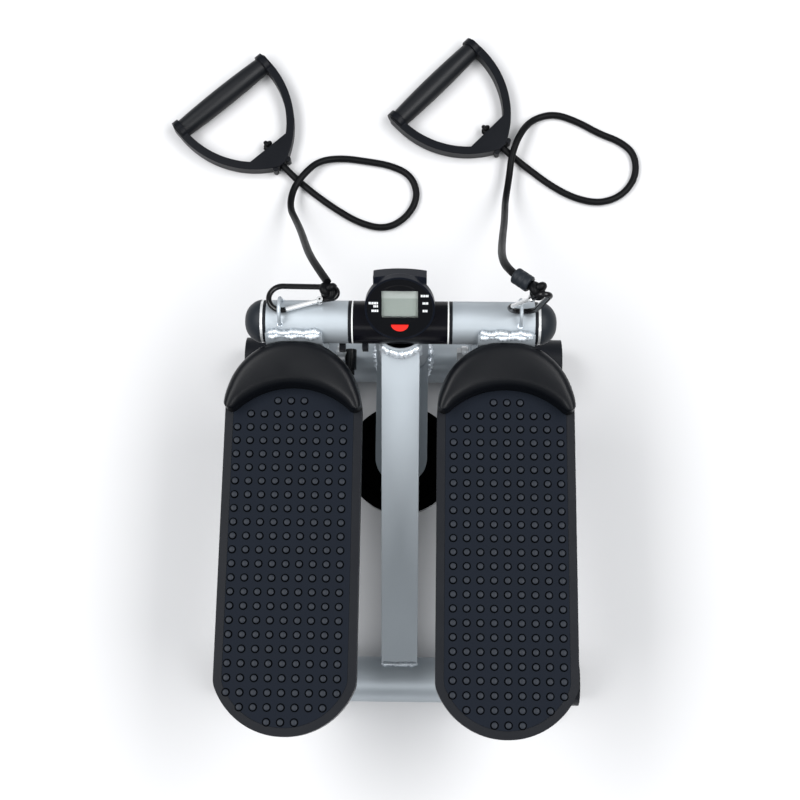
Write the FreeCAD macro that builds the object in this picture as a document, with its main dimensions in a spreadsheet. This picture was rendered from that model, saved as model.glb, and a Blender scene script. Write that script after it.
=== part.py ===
"""Mini stepper with two resistance bands, built as an assembly of separate pieces.

The row frame: origin on the floor at the machine's centre, +X to the right, +Y forward (the
console end), +Z up.  Every length is in millimetres.
"""
import FreeCAD, Part
import math
import os
import Sketcher
from FreeCAD import Placement, Rotation, Vector

os.makedirs("parts", exist_ok=True)
doc = FreeCAD.newDocument("stepper")

# ---------------------------------------------------------------- driving dimensions

SIZES = {
    # floor tubes
    "cross_tube_dia": 38.0, "cross_tube_wall": 1.5, "cross_tube_axis_height": 24.0,
    "cross_tube_station": 140.0, "front_tube_half": 135.5, "rear_tube_half": 148.0,
    "end_cap_wall": 5.0, "end_cap_grip": 20.0, "end_cap_skin": 1.2, "foot_width": 34.0,
    # upright and sloping beam
    "upright_dia": 45.0, "upright_wall": 2.0, "upright_bottom": 30.0, "upright_top": 168.0,
    "beam_side": 30.4, "beam_wall": 2.0, "beam_slope": 25.8, "beam_top_rear_height": 38.6,
    "beam_rear_end": -127.0,
    # axle
    "axle_height": 170.0, "axle_tube_dia": 34.0, "shaft_dia": 20.0, "shaft_half": 108.1,
    "centre_half": 37.2, "washer_thick": 1.1, "sleeve_start": 41.0, "sleeve_end": 105.5,
    "flange_thick": 2.5, "bush_dia": 26.0, "bush_length": 14.0, "end_washer_thick": 2.0,
    "dome_depth": 13.1, "bolt_dia": 8.0, "bolt_head_width": 13.0, "bolt_head_height": 5.3,
    "bolt_depth": 22.0,
    # pedals
    "pedal_offset": 83.6, "pedal_half_width": 54.0, "pedal_half_length": 152.0,
    "pedal_centre_y": -28.5, "pedal_centre_height": 170.4, "pedal_slope": 3.62,
    "heel_radius": 57.0, "heel_corner": 19.0, "tray_depth": 16.0, "tray_wall": 3.0,
    "mat_thick": 3.2, "mat_border": 6.5, "mat_gap": 0.15, "rib_thick": 2.4,
    "boss_dia": 12.0, "bumper_height": 25.0, "bumper_wall": 3.0, "bumper_depth": 36.0,
    "bumper_inner_radius": 64.0, "horn_height": 14.0, "bumper_round": 4.5, "horn_radius": 5.5,
    # pedal arms and their levers
    "arm_inner": 61.0, "arm_width": 44.5, "arm_thick": 4.0, "arm_rear": -118.0,
    "flange_drop": 10.0, "flange_wall": 3.0, "lever_thick": 4.0, "lever_length": 114.0,
    "lever_end_radius": 10.0, "cable_bolt_dia": 6.0,
    # pulley and cable
    "pulley_dia": 94.0, "pulley_thick": 12.0, "pulley_y": 46.0, "cable_dia": 3.6,
    "cable_radius": 45.5, "strap_width": 44.0, "strap_thick": 5.0, "strap_height": 67.0,
    "pulley_bolt_dia": 10.0, "pulley_bush_dia": 16.0,
    # dampers
    "damper_low_y": 118.0, "damper_low_height": 42.0, "damper_high_y": -40.0,
    "damper_high_height": 128.0, "barrel_dia": 26.0, "barrel_start": 14.0,
    "barrel_end": 114.0, "rod_dia": 10.0, "rod_start": 58.0, "eye_width": 12.0,
    "lug_thick": 4.4, "lug_radius": 9.0, "pin_dia": 8.0,
    # console
    "console_dia": 54.0, "console_depth": 7.0, "console_wall": 1.5, "console_tilt": 43.0,
    "console_y": 141.5, "console_height": 207.0, "screen_width": 27.9, "screen_height": 23.0,
    "screen_rise": 3.9, "face_thick": 2.5, "holder_width": 41.0, "holder_back": 19.0,
    "button_radius": 6.7, "button_drop": 13.8,
    # bands
    "eye_offset": 94.0, "eye_y": 144.0, "eye_wire": 3.0, "eye_arch": 10.0, "arch_height": 188.0,
    "carabiner_wire": 4.4, "big_bend": 10.5, "small_bend": 5.0, "gate_wire": 3.6,
    "cord_dia": 6.4, "grip_mid_dia": 19.6, "grip_end_dia": 17.2, "frame_thick": 13.0,
    "grip_height": 10.6, "handle_drop": 2.3, "hub_reach": 88.5, "web_edge": 67.7,
    "flange_dia": 21.0, "grip_half": 47.5, "core_dia": 9.0, "stopper_radius": 5.2,
    "knot_radius": 6.0,
}
sheet = doc.addObject("Spreadsheet::Sheet", "sizes")
for row, (alias, value) in enumerate(SIZES.items(), 1):
    sheet.set(f"A{row}", alias)
    sheet.set(f"B{row}", str(value))
    sheet.setAlias(f"B{row}", alias)
doc.recompute()


class Cells:
    """The sheet's cells as plain numbers, for the places that are worked out from them."""

    def __getattr__(self, alias):
        return float(sheet.get(alias))


S = Cells()
X, Y, Z = Vector(1, 0, 0), Vector(0, 1, 0), Vector(0, 0, 1)
SIDES = {"left": -1, "right": 1}
nodes = {}


# ---------------------------------------------------------------- helpers

def node(name, obj):
    """Register a finished object as the sub-part that is written to parts/NAME.step."""
    obj.Label = name
    nodes[name] = obj
    return obj


def bind(obj, **expressions):
    """Bind properties of an object to expressions over the sheet's aliases."""
    for prop, text in expressions.items():
        obj.setExpression(prop, text)
    return obj


def aim(base, direction, spin=0.0):
    """A placement at base whose local Z points along direction."""
    turn = Rotation(Z, Vector(direction))
    return Placement(Vector(*base), turn.multiply(Rotation(Z, spin)))


def cylinder(radius, height, base, direction=Z):
    obj = doc.addObject("Part::Cylinder", "cylinder")
    bind(obj, Radius=radius, Height=height)
    obj.Placement = aim(base, direction)
    return obj


def block(length, width, height, base, turn=None):
    obj = doc.addObject("Part::Box", "block")
    bind(obj, Length=length, Width=width, Height=height)
    obj.Placement = Placement(Vector(*base), turn or Rotation())
    return obj


def hexagon(width, height, base, direction=Z):
    """A hexagonal head or nut, sized across its flats."""
    obj = doc.addObject("Part::Prism", "hexagon")
    obj.Polygon = 6
    bind(obj, Circumradius=f"({width}) / 2 / cos(30)", Height=height)
    obj.Placement = aim(base, direction)
    return obj


def ring(outer, inner, height, base, direction=Z):
    """A straight tube or washer: outer and inner radius as expressions."""
    body = cylinder(outer, height, base, direction)
    bore = cylinder(inner, height, base, direction)
    return cut(body, bore)


def fuse(*objs):
    obj = doc.addObject("Part::MultiFuse", "fused")
    obj.Shapes = list(objs)
    return obj


def cut(base, *tools):
    obj = doc.addObject("Part::Cut", "cut")
    obj.Base = base
    obj.Tool = tools[0] if len(tools) == 1 else fuse(*tools)
    return obj


def group(*objs):
    """Several separate solids kept in one sub-part."""
    obj = doc.addObject("Part::Compound", "group")
    obj.Links = list(objs)
    return obj


def mirror(source):
    """The other side's twin of a piece, across the machine's middle plane."""
    obj = doc.addObject("Part::Mirroring", "mirrored")
    obj.Source = source
    obj.Normal = X
    return obj


def plane(body, role):
    return next(f for f in body.Origin.OriginFeatures if f.Role == role)


def sketch(body, role, name, offset=None):
    made = body.newObject("Sketcher::SketchObject", name)
    made.AttachmentSupport = [(plane(body, role), "")]
    made.MapMode = "FlatFace"
    if offset is not None:
        made.AttachmentOffset = Placement(Vector(0, 0, offset), Rotation())
    return made


def feature(body, kind, name, profile, **settings):
    made = body.newObject(f"PartDesign::{kind}", name)
    made.Profile = profile
    for prop, value in settings.items():
        if isinstance(value, str) and prop not in ("Type", "Refine"):
            made.setExpression(prop, value)
        else:
            setattr(made, prop, value)
    return made


def new_body(name, placement=None):
    body = doc.addObject("PartDesign::Body", name)
    if placement is not None:
        body.Placement = placement
    return body


def closed(profile, *points):
    """Add a closed loop of straight edges and three-point arcs.

    Each entry is the start of an edge; an entry of two points starts an arc, and its second
    point lies on the arc's middle.
    """
    starts = [p[0] if isinstance(p[0], tuple) else p for p in points]
    for index, entry in enumerate(points):
        a = Vector(*starts[index], 0)
        b = Vector(*starts[(index + 1) % len(points)], 0)
        if isinstance(entry[0], tuple):
            profile.addGeometry(Part.Arc(a, Vector(*entry[1], 0), b), False)
        else:
            profile.addGeometry(Part.LineSegment(a, b), False)


def circle(profile, centre, radius_text, tag):
    """A circle with its radius bound to the sheet."""
    index = profile.addGeometry(Part.Circle(Vector(*centre, 0), Z, 1.0), False)
    number = profile.addConstraint(Sketcher.Constraint("Radius", index, 1.0))
    profile.renameConstraint(number, tag)
    profile.setExpression(f"Constraints.{tag}", radius_text)


def polar(centre, radius, degrees):
    """A point on a circle in a sketch."""
    angle = math.radians(degrees)
    return centre[0] + radius * math.cos(angle), centre[1] + radius * math.sin(angle)


# ---------------------------------------------------------------- floor frame

def cross_tube(name, y, half):
    """One of the two round tubes that lie across the machine."""
    start = (-getattr(S, half), y, S.cross_tube_axis_height)
    tube = ring("sizes.cross_tube_dia / 2", "sizes.cross_tube_dia / 2 - sizes.cross_tube_wall",
                f"2 * sizes.{half}", start, X)
    return node(name, tube)


def end_cap_pair(y, half):
    """Two plastic caps that slip over a tube's ends and carry its feet."""
    end = getattr(S, half)
    inner = end - S.end_cap_grip
    axis = S.cross_tube_axis_height
    skin = "sizes.cross_tube_dia / 2 + sizes.end_cap_skin"
    length = "sizes.end_cap_grip + sizes.end_cap_wall"
    shell = cylinder(skin, length, (inner, y, axis), X)
    foot = block(length, "sizes.foot_width", "sizes.cross_tube_axis_height",
                 (inner, y - S.foot_width / 2, 0))
    socket = cylinder("sizes.cross_tube_dia / 2", "sizes.end_cap_grip", (inner, y, axis), X)
    right = cut(fuse(shell, foot), socket)
    return right, mirror(right)


def make_frame():
    station = S.cross_tube_station
    cross_tube("front_cross_tube", station, "front_tube_half")
    cross_tube("rear_cross_tube", -station, "rear_tube_half")
    front = end_cap_pair(station, "front_tube_half")
    rear = end_cap_pair(-station, "rear_tube_half")
    node("tube_end_caps", group(*front, *rear))

    tube_axis = S.cross_tube_axis_height
    upright = ring("sizes.upright_dia / 2", "sizes.upright_dia / 2 - sizes.upright_wall",
                   "sizes.upright_top - sizes.upright_bottom",
                   (0, station, S.upright_bottom))
    lower_cope = cylinder("sizes.cross_tube_dia / 2", "sizes.upright_dia * 2",
                          (-S.upright_dia, station, tube_axis), X)
    upper_cope = cylinder("sizes.axle_tube_dia / 2", "sizes.upright_dia * 2",
                          (-S.upright_dia, station, S.axle_height), X)
    node("upright_tube", cut(upright, lower_cope, upper_cope))

    slope = math.radians(S.beam_slope)
    turn = Rotation(X, S.beam_slope)
    side, wall = S.beam_side, S.beam_wall
    low_end = (S.beam_rear_end - 20, S.beam_top_rear_height - 20 * math.tan(slope))
    down = (math.sin(slope), -math.cos(slope))

    def beam_block(inset, name_side):
        base = (-(side / 2 - inset), low_end[0] + down[0] * (side - inset),
                low_end[1] + down[1] * (side - inset))
        return block(name_side, "320", name_side, base, turn)

    outer = beam_block(0, "sizes.beam_side")
    inner = beam_block(wall, "sizes.beam_side - 2 * sizes.beam_wall")
    behind = block("200", "200", "200", (-100, S.beam_rear_end - 200, -100))
    rear_cope = cylinder("sizes.cross_tube_dia / 2", "200", (-100, -station, tube_axis), X)
    front_cope = cylinder("sizes.upright_dia / 2", "400", (0, station, -50))
    ahead = block("200", "200", "400", (-100, station, -50))
    node("centre_beam", cut(outer, inner, behind, rear_cope, front_cope, ahead))


# ---------------------------------------------------------------- axle

def make_axle():
    station, axle = S.cross_tube_station, S.axle_height
    barrel = "sizes.axle_tube_dia / 2"
    bore = "sizes.shaft_dia / 2"
    node("axle_centre_tube", ring(barrel, bore, "2 * sizes.centre_half",
                                  (-S.centre_half, station, axle), X))
    shaft = cylinder(bore, "2 * sizes.shaft_half", (-S.shaft_half, station, axle), X)
    hole = S.shaft_half - S.bolt_depth
    taps = [cylinder("sizes.bolt_dia / 2", "sizes.bolt_depth",
                     (side * hole, station, axle), (side, 0, 0)) for side in (-1, 1)]
    node("axle_shaft", cut(shaft, *taps))

    thrust = ring(barrel, bore, "sizes.washer_thick", (S.centre_half, station, axle), X)
    node("thrust_washers", group(thrust, mirror(thrust)))
    plate = ring(barrel, "sizes.bolt_dia / 2", "sizes.end_washer_thick",
                 (S.shaft_half, station, axle), X)

    seat = S.shaft_half + S.end_washer_thick
    thread = cylinder("sizes.bolt_dia / 2", "sizes.bolt_depth + sizes.end_washer_thick",
                      (hole, station, axle), X)
    head = hexagon("sizes.bolt_head_width", "sizes.bolt_head_height", (seat, station, axle), X)
    bolt = fuse(thread, head)
    node("axle_end_bolts", group(bolt, mirror(bolt), plate, mirror(plate)))

    dome = new_body("end_dome", aim((seat, station, axle), X))
    outline = sketch(dome, "XZ_Plane", "dome_outline")
    radius, depth = S.axle_tube_dia / 2 + 0.3, S.dome_depth
    cavity = S.bolt_head_width / 2 / math.cos(math.radians(30)) + 0.3
    floor = S.bolt_head_height + 0.4
    shoulder = polar((0, 0), 1.0, 45)
    closed(outline, (cavity, 0), ((radius, 0), (radius * shoulder[0], depth * shoulder[1])),
           (2, depth), (0, depth), (0, floor), (cavity, floor))
    feature(dome, "Revolution", "dome_turn", outline, Angle=360.0,
            ReferenceAxis=(outline, ["V_Axis"]))
    node("axle_end_domes", group(dome, mirror(dome)))


def band_eye(side_name):
    """The wire staple welded on top of a sleeve, which a band clips to."""
    x = SIDES[side_name] * S.eye_offset
    wire = "sizes.eye_wire / 2"
    arch = doc.addObject("Part::Torus", "arch")
    bind(arch, Radius1="sizes.eye_arch", Radius2=wire)
    arch.Angle3 = 180.0
    arch.Placement = Placement(Vector(x, S.eye_y, S.arch_height), Rotation(Y, Z, X, "XYZ"))
    rear = cylinder(wire, "sizes.arch_height - 183", (x, S.eye_y - S.eye_arch, 183.0))
    front = cylinder(wire, "sizes.arch_height - 177.5", (x, S.eye_y + S.eye_arch, 177.5))
    return arch, rear, front


def make_sleeve(side_name):
    """The steel sleeve that a pedal hangs on, with its two flanged nylon bushes."""
    side = SIDES[side_name]
    station, axle = S.cross_tube_station, S.axle_height
    barrel, bore = "sizes.axle_tube_dia / 2", "sizes.shaft_dia / 2 + 0.05"
    direction = (side, 0, 0)
    sleeve = ring(barrel, "sizes.bush_dia / 2", "sizes.sleeve_end - sizes.sleeve_start",
                  (side * S.sleeve_start, station, axle), direction)
    node(f"{side_name}_sleeve", fuse(sleeve, *band_eye(side_name)))
    bushes = []
    for seat, inward in ((S.sleeve_start, -1), (S.sleeve_end, 1)):
        base = (side * seat, station, axle)
        rim = cylinder(barrel, "sizes.flange_thick", base, (side * inward, 0, 0))
        plug = cylinder("sizes.bush_dia / 2", "sizes.bush_length", base, (-side * inward, 0, 0))
        reach = S.flange_thick + S.bush_length
        start = side * (seat - S.flange_thick if inward < 0 else seat - S.bush_length)
        hole = cylinder(bore, f"{reach}", (start, station, axle), direction)
        bushes.append(cut(fuse(rim, plug), hole))
    node(f"{side_name}_sleeve_bushes", group(*bushes))


# ---------------------------------------------------------------- pedals

def pedal_place(side_name):
    """The pedal's own frame: x across, y along it towards the toe, z out of its tread."""
    base = Vector(SIDES[side_name] * S.pedal_offset, S.pedal_centre_y, S.pedal_centre_height)
    return Placement(base, Rotation(X, -S.pedal_slope))


def pedal_point(side_name, x, y, z):
    return pedal_place(side_name).multVec(Vector(x, y, z))


def pedal_outline(profile, inset=0.0):
    """Round toe, straight sides, and a flatter heel arc with rounded corners."""
    half, tip = S.pedal_half_width, S.pedal_half_length
    side_x, toe_r = half - inset, half - inset
    toe_centre = (0, tip - half)
    heel_r, corner_r = S.heel_radius - inset, S.heel_corner - inset
    heel_centre = (0, -tip + S.heel_radius)
    reach = S.heel_radius - S.heel_corner
    corner_x = half - S.heel_corner
    corner_y = heel_centre[1] - math.sqrt(reach ** 2 - corner_x ** 2)
    lean = math.degrees(math.atan2(heel_centre[1] - corner_y, corner_x))
    right = (corner_x, corner_y)
    left = (-corner_x, corner_y)
    closed(profile,
           (side_x, corner_y),
           ((side_x, toe_centre[1]), polar(toe_centre, toe_r, 90)),
           (-side_x, toe_centre[1]),
           ((-side_x, corner_y), polar(left, corner_r, 180 + lean / 2)),
           (polar(heel_centre, heel_r, 180 + lean), polar(heel_centre, heel_r, 270)),
           (polar(right, corner_r, -lean), polar(right, corner_r, -lean / 2)))


SCREW_SPOTS = [(x, y) for y in (-88.0, 62.0) for x in (-13.0, 13.0)]
RIB_SPOTS = (-110.0, -60.0, -30.0, 15.0, 40.0, 85.0)


def front_clearance():
    """The space that a pedal leaves for its arm, just behind the sleeve."""
    station, axle = S.cross_tube_station, S.axle_height
    around = cylinder("sizes.axle_tube_dia / 2 + sizes.arm_thick + 0.2", "400",
                      (-200, station, axle), X)
    ahead = block("400", "60", "100", (-200, 118.8, axle - 100))
    return around, ahead


def make_tray(side_name):
    """The moulded tray: a rim round the tread, a thin floor, ribs and screw bosses below."""
    body = new_body(f"{side_name}_tray_body", pedal_place(side_name))
    whole = sketch(body, "XY_Plane", f"{side_name}_tray_outline")
    pedal_outline(whole)
    feature(body, "Pad", f"{side_name}_tray_block", whole, Length="sizes.tray_depth",
            Reversed=True)
    recess = sketch(body, "XY_Plane", f"{side_name}_tray_recess")
    pedal_outline(recess, S.mat_border)
    feature(body, "Pocket", f"{side_name}_tray_top", recess, Length="sizes.mat_thick")
    under = sketch(body, "XY_Plane", f"{side_name}_tray_under", -S.tray_depth)
    pedal_outline(under, S.tray_wall)
    feature(body, "Pocket", f"{side_name}_tray_hollow", under, Reversed=True,
            Length="sizes.tray_depth - sizes.mat_thick - sizes.tray_wall")
    bosses = sketch(body, "XY_Plane", f"{side_name}_bosses", -S.tray_depth)
    ribs = sketch(body, "XY_Plane", f"{side_name}_ribs", -S.tray_depth + 3.0)
    for index, spot in enumerate(SCREW_SPOTS):
        circle(bosses, spot, "sizes.boss_dia / 2", f"boss_{index}")
    reach = S.pedal_half_width - S.tray_wall
    for y in RIB_SPOTS:
        half = reach
        toe = y - (S.pedal_half_length - S.pedal_half_width)
        if toe > 0:
            half = math.sqrt(reach ** 2 - toe ** 2)
        thick = S.rib_thick / 2
        closed(ribs, (-half, y - thick), (half, y - thick), (half, y + thick),
               (-half, y + thick))
    feature(body, "Pad", f"{side_name}_boss_pad", bosses,
            Length="sizes.tray_depth - sizes.mat_thick - sizes.tray_wall")
    feature(body, "Pad", f"{side_name}_rib_pad", ribs,
            Length="sizes.tray_depth - sizes.mat_thick - sizes.tray_wall - 3")
    pilot = sketch(body, "XY_Plane", f"{side_name}_pilots", -S.tray_depth)
    for index, spot in enumerate(SCREW_SPOTS):
        circle(pilot, spot, "2.5", f"pilot_{index}")
    feature(body, "Pocket", f"{side_name}_pilot_holes", pilot, Length="9", Reversed=True)
    node(f"{side_name}_pedal_tray", cut(body, *front_clearance()))


def make_mat(side_name):
    body = new_body(f"{side_name}_mat_body", pedal_place(side_name))
    outline = sketch(body, "XY_Plane", f"{side_name}_mat_outline")
    pedal_outline(outline, S.mat_border + S.mat_gap)
    feature(body, "Pad", f"{side_name}_mat_pad", outline, Length="sizes.mat_thick",
            Reversed=True)
    node(f"{side_name}_tread_mat", body)


def bumper_outline(profile, inset=0.0):
    """A crescent inside the toe's round, hollow side to the foot, with rounded horns."""
    toe_r, horn_r = S.pedal_half_width - inset, S.horn_radius - inset
    toe = (0, S.pedal_half_length - S.pedal_half_width)
    inner_r = S.bumper_inner_radius + inset
    inner = (0, S.pedal_half_length - S.bumper_depth - S.bumper_inner_radius)
    reach = toe_r - horn_r
    gap = toe[1] - inner[1]
    horn_y = ((inner_r + horn_r) ** 2 - reach ** 2) / (2 * gap) + (toe[1] + inner[1]) / 2
    horn_x = math.sqrt(reach ** 2 - (horn_y - toe[1]) ** 2)
    out = math.degrees(math.atan2(horn_y - toe[1], horn_x))
    lean = math.degrees(math.atan2(horn_y - inner[1], horn_x))
    right, left = (horn_x, horn_y), (-horn_x, horn_y)
    closed(profile,
           (polar(toe, toe_r, out), (0, toe[1] + toe_r)),
           (polar(toe, toe_r, 180 - out), polar(left, horn_r, 270 - (out + lean) / 2)),
           (polar(left, horn_r, -lean), (0, inner[1] + inner_r)),
           (polar(right, horn_r, 180 + lean), polar(right, horn_r, 270 + (out + lean) / 2)))


def bumper_top(y):
    """Height of the toe stop above the tread: it falls towards its horns."""
    slope = (S.bumper_height - S.horn_height) / (S.pedal_half_length - 90.0)
    return S.horn_height + slope * (y - 90.0)


def make_bumper(side_name):
    """The hollow moulded toe stop on the front of the pedal."""
    body = new_body(f"{side_name}_bumper_body", pedal_place(side_name))
    outline = sketch(body, "XY_Plane", f"{side_name}_bumper_outline")
    bumper_outline(outline)
    feature(body, "Pad", f"{side_name}_bumper_block", outline,
            Length="sizes.bumper_height + 5")
    slope = sketch(body, "YZ_Plane", f"{side_name}_bumper_slope")
    closed(slope, (60, bumper_top(60)), (180, bumper_top(180)), (180, 80), (60, 80))
    top_cut = feature(body, "Pocket", f"{side_name}_bumper_top", slope, Midplane=True,
                      Length="sizes.pedal_half_width * 4")
    doc.recompute()
    rim = [f"Edge{i}" for i, edge in enumerate(top_cut.Shape.Edges, 1)
           if all(abs(v.Z - bumper_top(v.Y)) < 0.01 for v in edge.Vertexes)]
    body.newObject("PartDesign::Fillet", f"{side_name}_bumper_round")
    body.Tip.Base = (top_cut, rim)
    bind(body.Tip, Radius="sizes.bumper_round")
    under = sketch(body, "XY_Plane", f"{side_name}_bumper_under")
    bumper_outline(under, S.bumper_wall)
    feature(body, "Pocket", f"{side_name}_bumper_hollow", under, Reversed=True,
            Length="sizes.horn_height - sizes.bumper_wall")
    node(f"{side_name}_toe_bumper", cut(body, *front_clearance()))


# ---------------------------------------------------------------- pedal arms and levers

def along(y):
    """Height of the tray's underside above the floor, at a station along the machine."""
    slope = math.radians(S.pedal_slope)
    rise = S.pedal_centre_height - (y - S.pedal_centre_y) * math.tan(slope)
    return rise - S.tray_depth / math.cos(slope)


def damper_line(side_name):
    """The damper's lower and upper pin centres."""
    x = SIDES[side_name] * S.pedal_offset
    return (Vector(x, S.damper_low_y, S.damper_low_height),
            Vector(x, S.damper_high_y, S.damper_high_height))


def side_body(name, side_name, inner, width):
    """A body whose YZ sketches are drawn in the row frame and padded outwards from inner."""
    x = inner if side_name == "right" else -inner - getattr(S, width)
    return new_body(name, Placement(Vector(x, 0, 0), Rotation()))


def make_arm(side_name):
    """A bent plate that wraps the sleeve, drops behind it and runs back under the tray."""
    station, axle = S.cross_tube_station, S.axle_height
    centre = (station, axle)
    inner, outer = S.axle_tube_dia / 2, S.axle_tube_dia / 2 + S.arm_thick
    back = station - outer
    thick, rear = S.arm_thick, S.arm_rear
    body = side_body(f"{side_name}_arm_body", side_name, S.arm_inner, "arm_width")
    profile = sketch(body, "YZ_Plane", f"{side_name}_arm_profile")
    closed(profile,
           (polar(centre, outer, 130), polar(centre, outer, 155)),
           (back, axle), (back, along(back)), (rear, along(rear)),
           (rear, along(rear) - thick), (back + thick, along(back + thick) - thick),
           ((back + thick, axle), polar(centre, inner, 155)),
           polar(centre, inner, 130))
    feature(body, "Pad", f"{side_name}_arm_plate", profile, Length="sizes.arm_width")

    flanges = []
    for offset in (0.0, S.arm_width - S.flange_wall):
        edge = side_body(f"{side_name}_flange", side_name, S.arm_inner + offset, "flange_wall")
        strip = sketch(edge, "YZ_Plane", f"{side_name}_flange_profile")
        top, drop = S.arm_thick, S.flange_drop
        closed(strip, (100, along(100) - top), (rear, along(rear) - top),
               (rear, along(rear) - top - 3), (rear + 12, along(rear + 12) - top - drop),
               (92, along(92) - top - drop), (100, along(100) - top - 3))
        feature(edge, "Pad", f"{side_name}_flange_pad", strip, Length="sizes.flange_wall")
        flanges.append(edge)

    high = damper_line(side_name)[1]
    lugs = []
    for lug_inner in lug_stations():
        lug = side_body(f"{side_name}_upper_lug", side_name, lug_inner, "lug_thick")
        cheek = sketch(lug, "YZ_Plane", f"{side_name}_upper_lug_profile")
        y, z, r = high.y, high.z, S.lug_radius
        closed(cheek, (y - r - 5, along(y - r - 5) - S.arm_thick),
               ((y - r, z), (y, z - r)), (y + r, z),
               (y + r + 5, along(y + r + 5) - S.arm_thick))
        feature(lug, "Pad", f"{side_name}_upper_lug_pad", cheek, Length="sizes.lug_thick")
        lugs.append(lug)
    pin_hole = cylinder("sizes.pin_dia / 2", "200", (high.x - 100, high.y, high.z), X)
    holes = [cylinder("3.25", "40", pedal_point(side_name, x, y, -S.tray_depth - 20),
                      pedal_place(side_name).Rotation.multVec(Z)) for x, y in SCREW_SPOTS]
    node(f"{side_name}_pedal_arm", cut(fuse(body, *flanges, *lugs), pin_hole, *holes))


def lug_stations():
    """Where a clevis's two cheeks start, measured outwards from the middle plane."""
    gap = S.eye_width / 2 + 0.2
    return S.pedal_offset - gap - S.lug_thick, S.pedal_offset + gap


def make_pedal_screws(side_name):
    """Four pan-head screws that go up through the arm into the tray's bosses."""
    up = pedal_place(side_name).Rotation.multVec(Z)
    screws = []
    for x, y in SCREW_SPOTS:
        seat = pedal_point(side_name, x, y, -S.tray_depth) - up * screw_seat_drop()
        shank = cylinder("2.5", f"{screw_seat_drop()} + 8", seat, up)
        head = cylinder("5.2", "3.6", seat, -up)
        screws.append(fuse(shank, head))
    return screws


def screw_seat_drop():
    """How far the arm's underside is from the tray's, square to the pedal."""
    return S.arm_thick * math.cos(math.radians(S.pedal_slope))


def make_lever(side_name):
    """A plate that hangs from the sleeve's inner end and carries the cable's end."""
    station, axle = S.cross_tube_station, S.axle_height
    inner = S.arm_inner - S.lever_thick
    body = side_body(f"{side_name}_lever_body", side_name, inner, "lever_thick")
    profile = sketch(body, "YZ_Plane", f"{side_name}_lever_profile")
    tube, wide, tip = S.axle_tube_dia / 2, S.axle_tube_dia / 2 + 5, S.lever_end_radius
    pin = (station, axle - S.lever_length)
    closed(profile,
           ((station - tip, pin[1]), (station, pin[1] - tip)),
           (station + tip, pin[1]),
           (polar((station, axle), wide, -25)),
           (polar((station, axle), tube, -25), (station, axle - tube)),
           polar((station, axle), tube, 205),
           polar((station, axle), wide, 205))
    feature(body, "Pad", f"{side_name}_lever_plate", profile, Length="sizes.lever_thick")
    hole = cylinder("sizes.cable_bolt_dia / 2", "200", (-100, *pin), X)
    node(f"{side_name}_cable_lever", cut(body, hole))


# ---------------------------------------------------------------- cable and pulley

def make_pulley():
    """The plate welded to the upright, and the grooved pulley that turns under it."""
    y, level = S.pulley_y, S.axle_height - S.lever_length
    station = S.cross_tube_station
    strap = new_body("strap_body", Placement(Vector(0, 0, S.strap_height), Rotation()))
    half = S.strap_width / 2
    outline = sketch(strap, "XY_Plane", "strap_outline")
    closed(outline, (half, y), (half, station), (-half, station),
           ((-half, y), (0, y - half)))
    feature(strap, "Pad", "strap_plate", outline, Length="sizes.strap_thick")
    bolt_r = "sizes.pulley_bolt_dia / 2"
    around = cylinder("sizes.upright_dia / 2", "200", (0, station, 0))
    hole = cylinder(bolt_r, "200", (0, y, 0))
    node("pulley_strap", cut(strap, around, hole))

    wheel = new_body("pulley_body", Placement(Vector(0, y, level), Rotation()))
    profile = sketch(wheel, "XZ_Plane", "pulley_profile")
    rim, web = S.pulley_dia / 2, S.pulley_thick / 2
    groove, wire = S.cable_radius, S.cable_dia / 2 + 0.1
    hub = S.pulley_bush_dia / 2
    closed(profile, (hub, -web), (22, -web), (26, -3), (36, -3), (39, -web), (rim, -web),
           (rim, -wire), ((groove, -wire), (groove - wire, 0)), (groove, wire),
           (rim, wire), (rim, web), (39, web), (36, 3), (26, 3), (22, web), (hub, web))
    feature(wheel, "Revolution", "pulley_turn", profile, Angle=360.0,
            ReferenceAxis=(profile, ["V_Axis"]))
    node("cable_pulley", wheel)
    node("pulley_bush", ring("sizes.pulley_bush_dia / 2", f"{bolt_r} + 0.05",
                             "sizes.pulley_thick", (0, y, level - web)))

    gap = S.strap_height - (level + web)
    spacer = ring("9", bolt_r, f"{gap - 0.1}", (0, y, level + web + 0.1))
    plate_top = S.strap_height + S.strap_thick
    nut_low = level - web - 1.7
    shank = cylinder(bolt_r, f"{plate_top - nut_low + 9}", (0, y, nut_low - 9))
    head = hexagon("16", "5", (0, y, plate_top))
    bolt = fuse(shank, head)
    washer = ring("10", bolt_r, "1.6", (0, y, nut_low))
    nut = cut(hexagon("16", "8", (0, y, nut_low - 8)),
              cylinder(bolt_r, "8", (0, y, nut_low - 8)))
    node("pulley_bolt", group(bolt, spacer, washer, nut))


def cable_end_x(side_name):
    """The left end is an adjuster in line with the pulley; the right one is a plain eye."""
    return -S.cable_radius if side_name == "left" else S.arm_inner - S.lever_thick - 5.5


def right_run():
    """Where the cable leaves the pulley for the right-hand eye, its bearing and its heading."""
    eye = Vector(cable_end_x("right") + 1.8, S.cross_tube_station - 19, 0)
    reach = eye - Vector(0, S.pulley_y, 0)
    bearing = math.atan2(reach.y, reach.x) - math.acos(S.cable_radius / reach.Length)
    touch = Vector(S.cable_radius * math.cos(bearing),
                   S.pulley_y + S.cable_radius * math.sin(bearing), 0)
    return touch, bearing, (eye - touch).normalize()


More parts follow.
